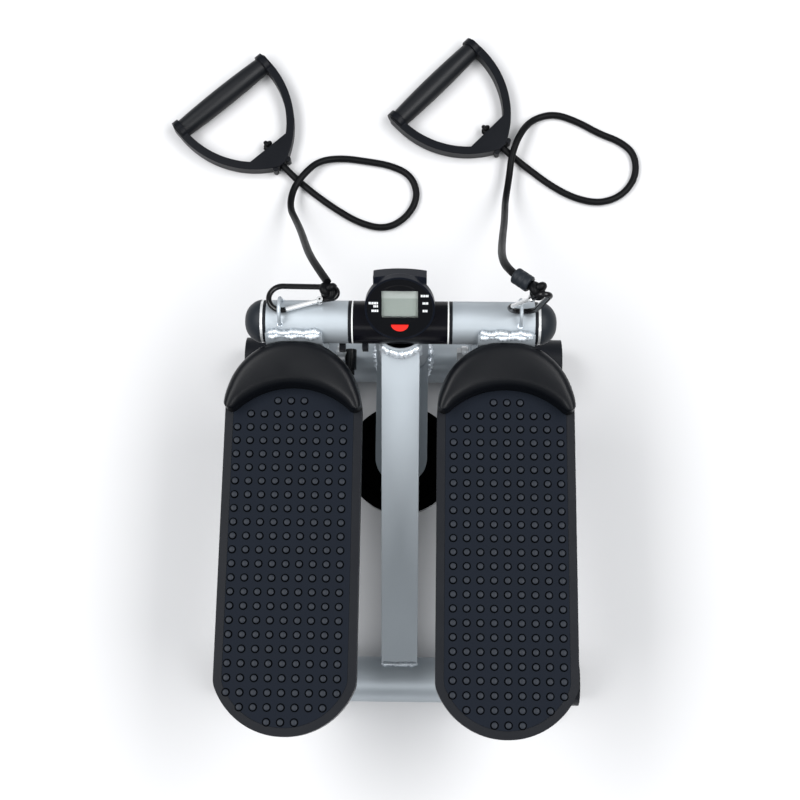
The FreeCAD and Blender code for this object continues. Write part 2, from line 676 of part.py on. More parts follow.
def make_cable_ends():
    station, level = S.cross_tube_station, S.axle_height - S.lever_length
    bolt_r = "sizes.cable_bolt_dia / 2"
    lever = S.arm_inner - S.lever_thick
    x = cable_end_x("left")
    barrel = cylinder("5", "17.5", (x, station - 14.5, level), Y)
    nose = cylinder("3.4", "5", (x, station - 19.5, level), Y)
    socket = cylinder(f"{bolt_r} + 0.05", "9", (x - 6, station, level), X)
    wire = cylinder("sizes.cable_dia / 2", "12", (x, station - 19.5, level), Y)
    node("left_cable_adjuster", cut(fuse(barrel, nose), socket, wire))
    pin = cylinder(bolt_r, f"{S.arm_inner + 7.5 + x + 2.5}",
                   (-S.arm_inner - 7.5, station, level), X)
    nut = cut(hexagon("10", "5", (-S.arm_inner, station, level), -X),
              cylinder(bolt_r, "5", (-S.arm_inner, station, level), -X))
    collar = ring("6.5", bolt_r, f"{lever + x - 5.2}", (-lever, station, level), X)
    bolts = {"left": [pin, nut, collar]}

    x = cable_end_x("right")
    eye = cylinder("7", "4", (x - 0.2, station, level), X)
    neck = cylinder("3", "12.7", (x + 1.8, station - 19, level), Y)
    hole = cylinder(f"{bolt_r} + 0.05", "8", (x - 2, station, level), X)
    heading = right_run()[2]
    entry = Vector(x + 1.8, station - 19, level)
    wire = cylinder("sizes.cable_dia / 2 + 0.02", "10", entry - heading * 3, heading)
    node("right_cable_eye", cut(fuse(eye, neck), hole, wire))
    shank = cylinder(bolt_r, f"{S.arm_inner + 7.5 - x + 0.4}", (x - 0.4, station, level), X)
    head = hexagon("10", "4", (x - 0.4, station, level), -X)
    bolt = fuse(shank, head)
    nut = cut(hexagon("10", "5", (S.arm_inner, station, level), X),
              cylinder(bolt_r, "5", (S.arm_inner, station, level), X))
    spacer = ring("6", bolt_r, f"{lever - x - 3.9}", (lever, station, level), -X)
    bolts["right"] = [bolt, nut, spacer]
    return bolts


def make_cable():
    """One coated steel cable: lever to lever round the back of the pulley."""
    station, level = S.cross_tube_station, S.axle_height - S.lever_length
    y, radius = S.pulley_y, S.cable_radius
    left = Vector(-radius, station - 19.5, level)
    right = Vector(cable_end_x("right") + 1.8, station - 19, level)
    centre = Vector(0, y, level)
    touch, bearing, heading = right_run()
    touch.z = level
    middle = (bearing - math.pi) / 2
    back = centre + Vector(radius * math.cos(middle), radius * math.sin(middle), 0)
    route = Part.Wire([
        Part.LineSegment(left + Vector(0, 7.5, 0), centre + Vector(-radius, 0, 0)).toShape(),
        Part.Arc(centre + Vector(-radius, 0, 0), back, touch).toShape(),
        Part.LineSegment(touch, right + heading * 6).toShape()])
    section = Part.Wire(Part.Circle(left + Vector(0, 7.5, 0), Y, S.cable_dia / 2).toShape())
    cable = doc.addObject("Part::Feature", "cable")
    cable.Shape = route.makePipeShell([section], True, True)
    print(f"drive_cable: {route.Length:.1f} mm long")
    node("drive_cable", cable)


# ---------------------------------------------------------------- dampers

def make_damper(side_name):
    """A hydraulic damper between the front tube and the pedal arm."""
    low, high = damper_line(side_name)
    way = (high - low).normalize()
    station, axis = S.cross_tube_station, S.cross_tube_axis_height
    pin_r = "sizes.pin_dia / 2"
    half = S.eye_width / 2

    cheeks = []
    for lug_inner in lug_stations():
        cheek = side_body(f"{side_name}_lower_lug", side_name, lug_inner, "lug_thick")
        outline = sketch(cheek, "YZ_Plane", f"{side_name}_lower_lug_profile")
        r = S.lug_radius
        lean = math.degrees(math.atan2(low.z - axis, low.y - station))
        foot = (station, axis)
        pin = (low.y, low.z)
        closed(outline, polar(foot, 17, lean + 90),
               (polar(pin, r, lean + 90), polar(pin, r, lean)),
               (polar(pin, r, lean - 90)), (polar(foot, 17, lean - 90)))
        feature(cheek, "Pad", f"{side_name}_lower_lug_pad", outline,
                Length="sizes.lug_thick")
        cheeks.append(cheek)
    tube = cylinder("sizes.cross_tube_dia / 2", "400", (-200, station, axis), X)
    bore = cylinder(pin_r, "200", (low.x - 100, low.y, low.z), X)
    bracket = cut(group(*cheeks), tube, bore)

    eye = cylinder("sizes.lug_radius", "sizes.eye_width", (low.x - half, low.y, low.z), X)
    neck = cylinder("5.5", "sizes.barrel_start", low, way)
    body = cylinder("sizes.barrel_dia / 2", "sizes.barrel_end - sizes.barrel_start",
                    low + way * S.barrel_start, way)
    eye_hole = cylinder(f"{pin_r} + 0.05", "40", (low.x - 20, low.y, low.z), X)
    rod_way = cylinder("sizes.rod_dia / 2 + 0.05", "200", low + way * 20, way)
    room = cylinder("sizes.barrel_dia / 2 - 2", "sizes.barrel_end - sizes.barrel_start - 16",
                    low + way * (S.barrel_start + 6), way)
    node(f"{side_name}_damper_barrel", cut(fuse(eye, neck, body), eye_hole, rod_way, room))

    rod = cylinder("sizes.rod_dia / 2", f"{(high - low).Length - S.rod_start}",
                   low + way * S.rod_start, way)
    piston = cylinder("sizes.barrel_dia / 2 - 2.05", "8", low + way * (S.rod_start - 2), way)
    top_eye = cylinder("11", "sizes.eye_width", (high.x - half, high.y, high.z), X)
    slack = cylinder("6.9", "40", (high.x - 20, high.y, high.z), X)
    node(f"{side_name}_damper_rod", cut(fuse(rod, piston, top_eye), slack))

    pins = []
    side = SIDES[side_name]
    for place in (low, high):
        outer = half + 0.2 + S.lug_thick
        shank = cylinder(pin_r, f"{2 * outer + 5}", (place.x - outer - 2.5, place.y, place.z), X)
        head = cylinder("6.5", "2.4", (place.x + side * outer, place.y, place.z), X * side)
        clip = ring("6", pin_r, "1", (place.x - side * outer, place.y, place.z), -X * side)
        pins.append([fuse(shank, head), clip])
    return bracket, pins


# ---------------------------------------------------------------- console

def console_place():
    """The console's own frame: x to the right, y up its face, z out of its face."""
    base = Vector(0, S.console_y, S.console_height)
    return Placement(base, Rotation(X, S.console_tilt))


def console_body(name):
    return new_body(name, console_place())


def rectangle(profile, x, low, high):
    closed(profile, (-x, low), (x, low), (x, high), (-x, high))


def half_disc(profile, grow=0.0):
    """The button's flat-topped, round-bottomed outline, grown evenly all round."""
    radius, top = S.button_radius + grow, grow - S.button_drop
    shoulder = -S.button_drop - 0.6
    low = shoulder - 0.72 * S.button_radius - grow
    closed(profile, (radius, top), (-radius, top), ((-radius, shoulder), (0, low)),
           (radius, shoulder))


def make_console():
    station, axle = S.cross_tube_station, S.axle_height
    place = console_place()
    depth, back = S.console_depth, S.holder_back
    half = S.holder_width / 2

    shell = console_body("console_shell")
    disc = sketch(shell, "XY_Plane", "console_disc")
    circle(disc, (0, 0), "sizes.console_dia / 2", "rim")
    feature(shell, "Pad", "console_drum", disc, Length="sizes.console_depth", Reversed=True)
    holder = sketch(shell, "XY_Plane", "holder_outline", -depth)
    closed(holder, (-half, -20), (half, -20), ((half, 23.4), (0, 25.2)), (-half, 23.4))
    feature(shell, "Pad", "holder_block", holder, Reversed=True,
            Length="sizes.holder_back - sizes.console_depth")
    well = sketch(shell, "XY_Plane", "face_well")
    circle(well, (0, 0), "sizes.console_dia / 2 - sizes.console_wall", "well")
    feature(shell, "Pocket", "face_pocket", well, Length="sizes.console_depth - 2")
    room = sketch(shell, "XY_Plane", "board_room", -depth + 2.0)
    rectangle(room, 17.4, -15.5, 18.5)
    feature(shell, "Pocket", "board_pocket", room,
            Length="sizes.holder_back - sizes.console_depth")
    saddle = cylinder("sizes.axle_tube_dia / 2 + 3.6", "200", (-100, station, axle), X)
    out = place.Rotation.multVec(Z)
    spots = [place.multVec(Vector(x, 10, -back - 10)) for x in (-12.5, 12.5)]
    holes = [cylinder("1.5", "14", spot, out) for spot in spots]
    node("console_housing", cut(shell, saddle, *holes))

    plate = console_body("face_body")
    outline = sketch(plate, "XY_Plane", "face_outline")
    circle(outline, (0, 0), "sizes.console_dia / 2 - sizes.console_wall - 0.05", "face")
    feature(plate, "Pad", "face_plate", outline, Length="sizes.face_thick", Reversed=True)
    window = sketch(plate, "XY_Plane", "face_window")
    tall = S.screen_height / 2
    rectangle(window, S.screen_width / 2, S.screen_rise - tall, S.screen_rise + tall)
    feature(plate, "Pocket", "window_cut", window, Length="sizes.face_thick")
    slot = sketch(plate, "XY_Plane", "button_slot")
    half_disc(slot, 0.2)
    feature(plate, "Pocket", "slot_cut", slot, Length="sizes.face_thick")
    node("console_face", plate)

    lens = console_body("lens_body")
    pane = sketch(lens, "XY_Plane", "lens_outline", -0.3)
    inset = 0.05
    rectangle(pane, S.screen_width / 2 - inset, S.screen_rise - tall + inset,
              S.screen_rise + tall - inset)
    feature(lens, "Pad", "lens_pane", pane, Length="1.6", Reversed=True)
    node("screen_lens", lens)
    panel = console_body("panel_body")
    glass = sketch(panel, "XY_Plane", "panel_outline", -S.face_thick - 0.05)
    rectangle(glass, 15.4, S.screen_rise - 12.5, S.screen_rise + 12.5)
    feature(panel, "Pad", "panel_glass", glass, Length="2.4", Reversed=True)
    node("screen_panel", panel)

    board = console_body("board_body")
    card = sketch(board, "XY_Plane", "board_outline", -8.4)
    rectangle(card, 17.0, -15.2, 18.2)
    feature(board, "Pad", "board_card", card, Length="1.4", Reversed=True)
    switch = sketch(board, "XY_Plane", "switch_outline", -8.4)
    circle(switch, (0, -12.9), "2.2", "switch")
    feature(board, "Pad", "switch_dome", switch, Length="0.5")
    node("circuit_board", board)
    node("button_cell", cylinder("5.8", "5.4", place.multVec(Vector(0, 4, -16.9)), out))

    key = console_body("button_body")
    cap = sketch(key, "XY_Plane", "button_outline", 0.8)
    half_disc(cap)
    feature(key, "Pad", "button_cap", cap, Length="sizes.face_thick + 1.3", Reversed=True)
    rim = sketch(key, "XY_Plane", "button_rim", -S.face_thick - 0.1)
    half_disc(rim, 1.2)
    feature(key, "Pad", "button_flange", rim, Length="1.0", Reversed=True)
    stem = sketch(key, "XY_Plane", "button_stem", -3.0)
    circle(stem, (0, -14.0), "1.3", "stem")
    feature(key, "Pad", "button_post", stem, Length="3.6", Reversed=True)
    node("mode_button", key)

    wrap = cylinder("sizes.axle_tube_dia / 2 + 3.5", "36", (-18, station, axle), X)
    below = block("60", "100", "60", (-30, station - 50, axle - 59.5))
    seat = console_body("seat_body")
    footing = sketch(seat, "XY_Plane", "seat_outline", -back)
    rectangle(footing, 16, -24, 16)
    feature(seat, "Pad", "seat_block", footing, Length="6", Reversed=True)
    tube = cylinder("sizes.axle_tube_dia / 2", "200", (-100, station, axle), X)
    front = block("60", "36", "40", (-30, station - 50, axle))
    inside = block("60", "80", "60", (0, 0, 0))
    inside.Placement = place.multiply(Placement(Vector(-30, -40, -10.5), Rotation()))
    node("console_bracket", cut(fuse(wrap, seat), below, front, inside, tube, *holes))
    screws = []
    for spot in spots:
        start = spot + out * 4
        screws.append(fuse(cylinder("1.5", "10", start, out), cylinder("2.9", "2", start, -out)))
    node("console_screws", group(*screws))

    sensor = block("4.6", "9.5", "13", (-30.6, 120.5, 150))
    node("reed_sensor", cut(sensor, tube))
    magnet = block("5", "6", "8", (-49, 119.5, 152))
    node("sensor_magnet", cut(magnet, tube))


# ---------------------------------------------------------------- resistance bands

# Each route runs from the stopper in its handle to the knot on its carabiner.
CORD_ROUTES = {
    "left": [
        (-132.2, 348.4, 8.0), (-113.5, 327.0, 6.9), (-92, 308.5, 3.2), (-68.5, 291, 3.2),
        (-43, 275.5, 3.2), (-18, 270, 3.2), (2, 282.5, 3.2), (11.5, 303, 3.2),
        (4.5, 323, 3.2), (-14.5, 332.5, 3.2), (-38, 336.5, 3.2), (-61, 339.5, 3.2),
        (-81.5, 335.5, 7), (-94, 322.5, 11.8), (-105, 307, 11.8), (-107.5, 286, 17),
        (-98, 264.5, 42), (-89.5, 242, 80), (-82, 219, 120), (-74.5, 198, 158),
        (-65.6, 180.5, 181), (-57.1, 166.5, 193)],
    "right": [
        (72.4, 365.8, 8.0), (92.9, 346.0, 6.9), (115, 329, 3.2), (136.5, 312.5, 3.2),
        (158, 301, 3.2), (181, 296.5, 3.2), (202, 304.5, 3.2), (215, 323, 3.2),
        (214, 345, 3.2), (200.5, 357.5, 3.2), (181, 365, 3.2), (161, 376.8, 3.2),
        (138.5, 385, 3.2), (118, 378.5, 4.5), (106, 361, 14.6), (98, 340, 15.6),
        (95.5, 317, 14), (91.5, 292, 22), (89.5, 272, 50), (87, 250, 84), (83.5, 227, 124),
        (80.5, 205, 163), (78.8, 188, 196), (79.5, 174.5, 219), (84.8, 164, 231.5),
        (92.3, 157.2, 235.8), (99.8, 151.8, 235.8)],
}
CARABINERS = {
    "left": Placement(Vector(-92.6, 154.3, 188.2), Rotation(X, -12.0)),
    "right": Placement(Vector(95.5, 145.0, 199.3),
                       Rotation(Vector(0.181, 0, 0.983), Vector(0.983, 0, -0.181), Y, "XYZ")),
}
KNOTS = {"left": (-56.5, 160.0, 190.5), "right": (103.2, 149.5, 236.0)}
FERRULE = (Vector(86.6, 161.9, 233.2), Vector(97.8, 153.3, 236.3))
HANDLES = {"left": (-174.3, 396.5, -138.8), "right": (26.4, 410.2, -133.97)}


def rounded_route(name, points):
    """Straight runs joined by tangent arcs, each arc as large as its two runs allow."""
    spots = [Vector(*point) for point in points]
    edges = []
    radii = []
    last = spots[0]
    for before, corner, after in zip(spots, spots[1:], spots[2:]):
        arriving = (corner - before).normalize()
        leaving = (after - corner).normalize()
        turn = arriving.getAngle(leaving)
        reach = 0.45 * min((corner - before).Length, (after - corner).Length)
        radii.append(reach / math.tan(turn / 2))
        first = corner - arriving * reach
        final = corner + leaving * reach
        inward = (leaving - arriving).normalize()
        middle = corner + inward * (radii[-1] * (1 / math.cos(turn / 2) - 1))
        edges.append(Part.LineSegment(last, first).toShape())
        edges.append(Part.Arc(first, middle, final).toShape())
        last = final
    edges.append(Part.LineSegment(last, spots[-1]).toShape())
    route = Part.Wire(edges)
    listed = ", ".join(f"{radius:.0f}" for radius in radii)
    print(f"{name}: {route.Length:.1f} mm long, radii {listed}")
    return route


def round_bar(route, radius):
    """A round bar of the sheet's radius along a smooth wire."""
    first = route.OrderedEdges[0]
    start = first.valueAt(first.FirstParameter)
    heading = first.tangentAt(first.FirstParameter)
    spine = doc.addObject("Part::Feature", "spine")
    spine.Shape = route
    section = doc.addObject("Part::Circle", "section")
    bind(section, Radius=radius)
    section.Placement = aim(start, heading)
    bar = doc.addObject("Part::Sweep", "bar")
    bar.Sections = [section]
    bar.Spine = (spine, [f"Edge{number + 1}" for number in range(len(route.Edges))])
    bar.Solid = True
    bar.Frenet = True
    return bar


def make_carabiner(side_name):
    """A black wire snap hook and its sprung gate."""
    place = CARABINERS[side_name]
    big, small = S.big_bend, S.small_bend
    offset = (38.0, 5.0)
    touch = math.degrees(math.atan2(offset[1], offset[0])
                         + math.acos((big - small) / math.hypot(*offset)))
    nose = polar((0, 0), big, -73)
    low = polar(offset, small, -80)
    toward = polar((0, 0), 1, 190)
    hinge = (low[0] + 9.5 * toward[0], low[1] + 9.5 * toward[1])
    tail = (low[0] + 6.3 * toward[0], low[1] + 6.3 * toward[1])

    def spot(point, height=0.0):
        return place.multVec(Vector(point[0], point[1], height))

    wire = Part.Wire([
        Part.Arc(spot(nose), spot(polar((0, 0), big, -171)),
                 spot(polar((0, 0), big, touch))).toShape(),
        Part.LineSegment(spot(polar((0, 0), big, touch)),
                         spot(polar(offset, small, touch))).toShape(),
        Part.Arc(spot(polar(offset, small, touch)), spot(polar(offset, small, 5)),
                 spot(low)).toShape(),
        Part.LineSegment(spot(low), spot(tail)).toShape()])
    normal = place.Rotation.multVec(Z)
    bar = round_bar(wire, "sizes.carabiner_wire / 2")
    tongue = block("4.2", "4", "1.9", (0, 0, 0))
    tongue.Placement = place * Placement(Vector(*hinge, -0.95), Rotation(Z, 10)) * Placement(
        Vector(0, -2, 0), Rotation())
    tip = cylinder("2", "1.9", spot(hinge, -0.95), normal)
    pin = cylinder("0.8", "5.2", spot(hinge, -2.6), normal)
    node(f"{side_name}_carabiner_body", fuse(bar, tongue, tip, pin))

    span = Vector(nose[0] - hinge[0], nose[1] - hinge[1], 0)
    heading = place.Rotation.multVec(span)
    rod = cylinder("sizes.gate_wire / 2", f"{span.Length - 0.5}", spot(hinge), heading)
    cheeks = cylinder("2.5", "4.8", spot(hinge, -2.4), normal)
    slot = cylinder("2.9", "2", spot(hinge, -1), normal)
    bore = cylinder("0.85", "5", spot(hinge, -2.5), normal)
    node(f"{side_name}_carabiner_gate", cut(fuse(rod, cheeks), slot, bore))


def handle_place(side_name):
    """A handle's own frame: x along the grip, y toward the hub, lying hub-down on the floor."""
    x, y, bearing = HANDLES[side_name]
    turn = Rotation(Z, bearing).multiply(Rotation(X, -S.handle_drop))
    return Placement(Vector(x, y, S.grip_height), turn)


def make_handle(side_name):
    """The moulded D frame with its core bar; returns the grip that is slipped on it."""
    place = handle_place(side_name)
    half = S.frame_thick / 2
    centre = (36.0, 6.5)
    outer, inner = 91.2, 84.0
    edge, hub = S.web_edge, S.hub_reach
    web_x = math.sqrt(inner ** 2 - (edge - centre[1]) ** 2) - centre[0]
    hub_x = math.sqrt(outer ** 2 - (hub - centre[1]) ** 2) - centre[0]
    out_x, in_x = outer - centre[0], inner - centre[0]
    body = new_body("handle_body", place)
    outline = sketch(body, "XY_Plane", "handle_outline", -half)
    middle = (6.5 + hub) / 2
    outer_mid = math.sqrt(outer ** 2 - (middle - centre[1]) ** 2) - centre[0]
    inner_level = (6.5 + edge) / 2
    inner_mid = math.sqrt(inner ** 2 - (inner_level - centre[1]) ** 2) - centre[0]
    closed(outline,
           ((out_x, 6.5), (outer_mid, middle)), (hub_x, hub),
           ((-hub_x, hub), (-outer_mid, middle)), (-out_x, 6.5),
           ((-out_x, -3), (-out_x + 1.4, -6.6)), (-out_x + 5, -8),
           (-in_x, -8), ((-in_x, 6.5), (-inner_mid, inner_level)),
           (-web_x, edge), ((web_x, edge), (inner_mid, inner_level)), (in_x, 6.5),
           (in_x, -8), ((out_x - 5, -8), (out_x - 1.4, -6.6)), (out_x, -3))
    feature(body, "Pad", "handle_plate", outline, Length="sizes.frame_thick")

    def spot(x, y=0.0, z=0.0):
        return place.multVec(Vector(x, y, z))

    along_grip = place.Rotation.multVec(X)
    toward_hub = place.Rotation.multVec(Y)
    upward = place.Rotation.multVec(Z)
    disc = "sizes.flange_dia / 2"
    discs = [cylinder(disc, "6", spot(x), along_grip) for x in (-53.5, 47.5)]
    core = cylinder("sizes.core_dia / 2", "2 * sizes.grip_half", spot(-S.grip_half), along_grip)
    knuckles = [cylinder("2.5", "sizes.frame_thick - 2", spot(x, hub - 0.5, 1 - half), upward)
                for x in (-7.5, 7.5)]
    bore = cylinder("sizes.cord_dia / 2 + 0.25", "40", spot(0, edge - 10), toward_hub)
    seat = cylinder("sizes.stopper_radius + 0.3", "6", spot(0, edge + 1.7), -toward_hub)
    node(f"{side_name}_handle_frame", cut(fuse(body, *discs, core, *knuckles), bore, seat))

    grip = new_body("grip_body", place)
    profile = sketch(grip, "XY_Plane", "grip_profile")
    end, bore_radius = S.grip_half - 0.05, S.core_dia / 2 + 0.05
    closed(profile, (-end, bore_radius), ((-end, S.grip_end_dia / 2), (0, S.grip_mid_dia / 2)),
           (end, S.grip_end_dia / 2), (end, bore_radius))
    turned = feature(grip, "Revolution", "grip_turned", profile)
    turned.ReferenceAxis = (plane(grip, "X_Axis"), [""])
    turned.Angle = 360.0
    stopper = doc.addObject("Part::Sphere", "stopper")
    bind(stopper, Radius="sizes.stopper_radius")
    stopper.Placement.Base = spot(0, edge + 1.6 - S.stopper_radius)
    return grip, stopper


def make_bands():
    grips, knots = [], []
    for side_name in SIDES:
        make_carabiner(side_name)
        grip, stopper = make_handle(side_name)
        grips.append(grip)
        cord_name = f"{side_name}_band_cord"
        cord = round_bar(rounded_route(cord_name, CORD_ROUTES[side_name]), "sizes.cord_dia / 2")
        node(cord_name, cord)
        knot = doc.addObject("Part::Sphere", "knot")
        bind(knot, Radius="sizes.knot_radius")
        before, tip = (Vector(*point) for point in CORD_ROUTES[side_name][-2:])
        knot.Placement = Placement(Vector(*KNOTS[side_name]), Rotation(X, tip - before))
        strand = cylinder("sizes.cord_dia / 2", "19", tip, before - tip)
        knots.extend([cut(stopper, cord), cut(knot, strand)])
    start, end = FERRULE
    sleeve = cylinder("6.4", f"{(end - start).Length}", start, end - start)
    knots.append(cut(sleeve, cord))
    node("handle_grips", group(*grips))
    node("cord_knots", group(*knots))


# ---------------------------------------------------------------- build, check and write

make_frame()
make_axle()
make_pulley()
cable_bolts = make_cable_ends()
make_cable()
brackets, lower_pins = [], []
for side_name in SIDES:
    make_sleeve(side_name)
    make_tray(side_name)
    make_mat(side_name)
    make_bumper(side_name)
    make_arm(side_name)
    make_lever(side_name)
    bracket, (lower_pin, upper_pin) = make_damper(side_name)
    brackets.append(bracket)
    lower_pins.extend(lower_pin)
    screws = make_pedal_screws(side_name)
    node(f"{side_name}_pedal_fasteners",
         group(*screws, *cable_bolts[side_name], *upper_pin))
node("damper_brackets", group(*brackets))
node("damper_lower_pins", group(*lower_pins))
make_console()
make_bands()
doc.recompute()

for obj in doc.Objects:
    if "Invalid" in obj.State or "Error" in obj.State:
        raise RuntimeError(f"{obj.Name} ({obj.Label}) failed: {obj.State}")
for name, obj in nodes.items():
    shape = obj.Shape
    if shape.isNull() or not shape.isValid():
        raise RuntimeError(f"{name} has no valid shape")
    if not shape.Solids:
        raise RuntimeError(f"{name} holds no solid")
for name, obj in nodes.items():
    obj.Shape.exportStep(f"parts/{name}.step")
    print(f"{name}: {len(obj.Shape.Solids)} solid(s), {obj.Shape.Volume / 1000:.2f} cm3")
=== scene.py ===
"""Looks for the mini stepper: materials, mesh pieces, bands, floor, light and camera.

Everything is in metres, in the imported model's own frame: +X right, +Y forward, +Z up.
"""
import math
import random

import bmesh
import bpy
from mathutils import Matrix, Vector


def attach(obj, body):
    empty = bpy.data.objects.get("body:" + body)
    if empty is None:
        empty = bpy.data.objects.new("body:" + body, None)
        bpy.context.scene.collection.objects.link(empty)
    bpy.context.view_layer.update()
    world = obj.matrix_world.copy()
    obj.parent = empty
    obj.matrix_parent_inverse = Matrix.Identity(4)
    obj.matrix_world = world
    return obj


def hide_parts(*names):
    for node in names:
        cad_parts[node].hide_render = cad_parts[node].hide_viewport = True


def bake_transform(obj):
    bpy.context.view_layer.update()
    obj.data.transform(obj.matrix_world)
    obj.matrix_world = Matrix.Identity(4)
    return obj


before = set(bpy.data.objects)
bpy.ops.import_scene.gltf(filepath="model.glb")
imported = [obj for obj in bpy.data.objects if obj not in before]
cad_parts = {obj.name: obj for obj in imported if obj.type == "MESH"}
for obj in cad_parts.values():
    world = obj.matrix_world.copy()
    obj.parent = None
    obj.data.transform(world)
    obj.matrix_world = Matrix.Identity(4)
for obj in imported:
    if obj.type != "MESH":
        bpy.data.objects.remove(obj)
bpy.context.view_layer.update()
scene = bpy.context.scene
random.seed(7)
MM = 0.001
AXLE_Y, AXLE_Z, SLEEVE_R = 140.0, 170.0, 17.0
FLOOR_TUBE_Z = 24.0

# ------------------------------------------------------------------ camera

CAMERA_PLACE = Vector((22.465, -116.761, 1215.344)) * MM
PITCH, ROLL, YAW = (math.radians(v) for v in (10.539, 1.073, 0.749))
IMAGE_SIDE = 800
FOCAL = 1355.832  # in units of the image side over 800
SENSOR = 36.0


def add_camera():
    cp, sp = math.cos(PITCH), math.sin(PITCH)
    cr, sr = math.cos(ROLL), math.sin(ROLL)
    cy, sy = math.cos(YAW), math.sin(YAW)
    right = Vector((cr * cy, cr * sy, -sr))
    up = Vector((-sy * cp + sp * sr * cy, cy * cp + sp * sr * sy, sp * cr))
    back = right.cross(up)
    data = bpy.data.cameras.new("photo_camera")
    data.sensor_width = SENSOR
    data.lens = FOCAL * SENSOR / IMAGE_SIDE
    data.clip_start = 0.01
    camera = bpy.data.objects.new("photo_camera", data)
    matrix = Matrix((right, up, back)).transposed().to_4x4()
    matrix.translation = CAMERA_PLACE
    camera.matrix_world = matrix
    scene.collection.objects.link(camera)
    scene.camera = camera


add_camera()

# ------------------------------------------------------------------ materials


def material(name, color, rough=0.5, metal=0.0, specular=0.5, grain=900.0, bump=0.15,
             depth=0.0002, mottle=0.12, rough_spread=0.08, coat=0.0, bevel=0.0, alpha=1.0,
             transmission=0.0):
    """A procedural surface: fine grain in the bump, a slow mottle in colour and roughness."""
    made = bpy.data.materials.new(name)
    made.use_nodes = True
    tree = made.node_tree
    nodes, link = tree.nodes, tree.links.new
    bsdf = nodes["Principled BSDF"]
    place = nodes.new("ShaderNodeTexCoord")
    fine = nodes.new("ShaderNodeTexNoise")
    fine.inputs["Scale"].default_value = grain
    fine.inputs["Detail"].default_value = 3.0
    link(place.outputs["Object"], fine.inputs["Vector"])
    slow = nodes.new("ShaderNodeTexNoise")
    slow.inputs["Scale"].default_value = 38.0
    slow.inputs["Detail"].default_value = 4.0
    link(place.outputs["Object"], slow.inputs["Vector"])

    tone = nodes.new("ShaderNodeMapRange")
    tone.inputs["To Min"].default_value = 1.0 - mottle
    tone.inputs["To Max"].default_value = 1.0 + mottle
    link(slow.outputs["Fac"], tone.inputs["Value"])
    base = nodes.new("ShaderNodeMix")
    base.data_type = "RGBA"
    base.blend_type = "MULTIPLY"
    base.inputs["Factor"].default_value = 1.0
    base.inputs[6].default_value = (*color, 1.0)
    link(tone.outputs["Result"], base.inputs[7])
    link(base.outputs[2], bsdf.inputs["Base Color"])

    shine = nodes.new("ShaderNodeMapRange")
    shine.inputs["To Min"].default_value = max(0.03, rough - rough_spread)
    shine.inputs["To Max"].default_value = min(1.0, rough + rough_spread)
    link(slow.outputs["Fac"], shine.inputs["Value"])
    link(shine.outputs["Result"], bsdf.inputs["Roughness"])

    relief = nodes.new("ShaderNodeBump")
    relief.inputs["Strength"].default_value = bump
    relief.inputs["Distance"].default_value = depth
    link(fine.outputs["Fac"], relief.inputs["Height"])
    if bevel:
        soft = nodes.new("ShaderNodeBevel")
        soft.samples = 4
        soft.inputs["Radius"].default_value = bevel
        link(soft.outputs["Normal"], relief.inputs["Normal"])
    link(relief.outputs["Normal"], bsdf.inputs["Normal"])
    bsdf.inputs["Metallic"].default_value = metal
    bsdf.inputs["Specular IOR Level"].default_value = specular
    bsdf.inputs["Coat Weight"].default_value = coat
    bsdf.inputs["Coat Roughness"].default_value = 0.18
    bsdf.inputs["Transmission Weight"].default_value = transmission
    bsdf.inputs["Alpha"].default_value = alpha
    return made


SILVER = material("silver_powder", (0.40, 0.44, 0.475), rough=0.42, metal=0.55, grain=2600,
                  bump=0.10, mottle=0.05, rough_spread=0.05, bevel=0.0006)
# The frame's silver powder coat painted lighter on the weld beads: a painted highlight.
WELD_GLINT_SILVER = material("weld_silver_painted_glint", (0.66, 0.71, 0.76), rough=0.30, metal=0.60, grain=170,
                bump=0.35, depth=0.0006, mottle=0.16, rough_spread=0.1)
BLACK = material("moulded_black", (0.0060, 0.0070, 0.0095), rough=0.42, specular=0.14,
                 grain=1500, bump=0.22, bevel=0.0005)
DOME = material("dome_black", (0.0120, 0.0150, 0.0195), rough=0.45, specular=0.16, grain=1800,
                bump=0.15)
TREAD = material("tread_rubber", (0.0058, 0.0082, 0.0135), rough=0.60, specular=0.07,
                 grain=1300, bump=0.35, mottle=0.10)
# Stud tops: the tread rubber painted twice as light, a painted highlight on the domes.
STUD_TOP_HIGHLIGHT = material("stud_rubber_painted_highlight", (0.0125, 0.0160, 0.0230), rough=0.50, specular=0.22,
                grain=1500, bump=0.20, mottle=0.10)
# Stud sides: the tread rubber painted near black, a painted shade on the domes' steep sides and
# feet.
STUD_PAINTED_SHADE = material("stud_side_painted_shade", (0.0007, 0.0009, 0.0014), rough=0.75, specular=0.02,
                     grain=1500, bump=0.20, mottle=0.10)
BUMPER = material("toe_black", (0.0024, 0.0030, 0.0044), rough=0.38, specular=0.17,
                  grain=1700, bump=0.14)
TUBE_BLACK = material("axle_black", (0.0020, 0.0020, 0.0040), rough=0.24, specular=0.16,
                      grain=1200, bump=0.08)
ZINC = material("zinc_plate", (0.62, 0.63, 0.64), rough=0.28, metal=0.9, grain=700, bump=0.1,
                bevel=0.0003)
WASHER = material("bright_washer", (0.86, 0.87, 0.88), rough=0.25, metal=0.6, grain=900,
                  bump=0.05)
NYLON = material("white_nylon", (0.80, 0.81, 0.80), rough=0.5, grain=900, bump=0.05)
HOOK = material("hook_black", (0.0025, 0.0025, 0.0032), rough=0.22, specular=0.30, grain=900,
                bump=0.06)
GATE = material("gate_zinc", (0.88, 0.89, 0.90), rough=0.26, metal=0.7, grain=1200, bump=0.06)
DAMPER = material("damper_black", (0.0060, 0.0060, 0.0075), rough=0.3, specular=0.2,
                  grain=1100, bump=0.1, bevel=0.0004)
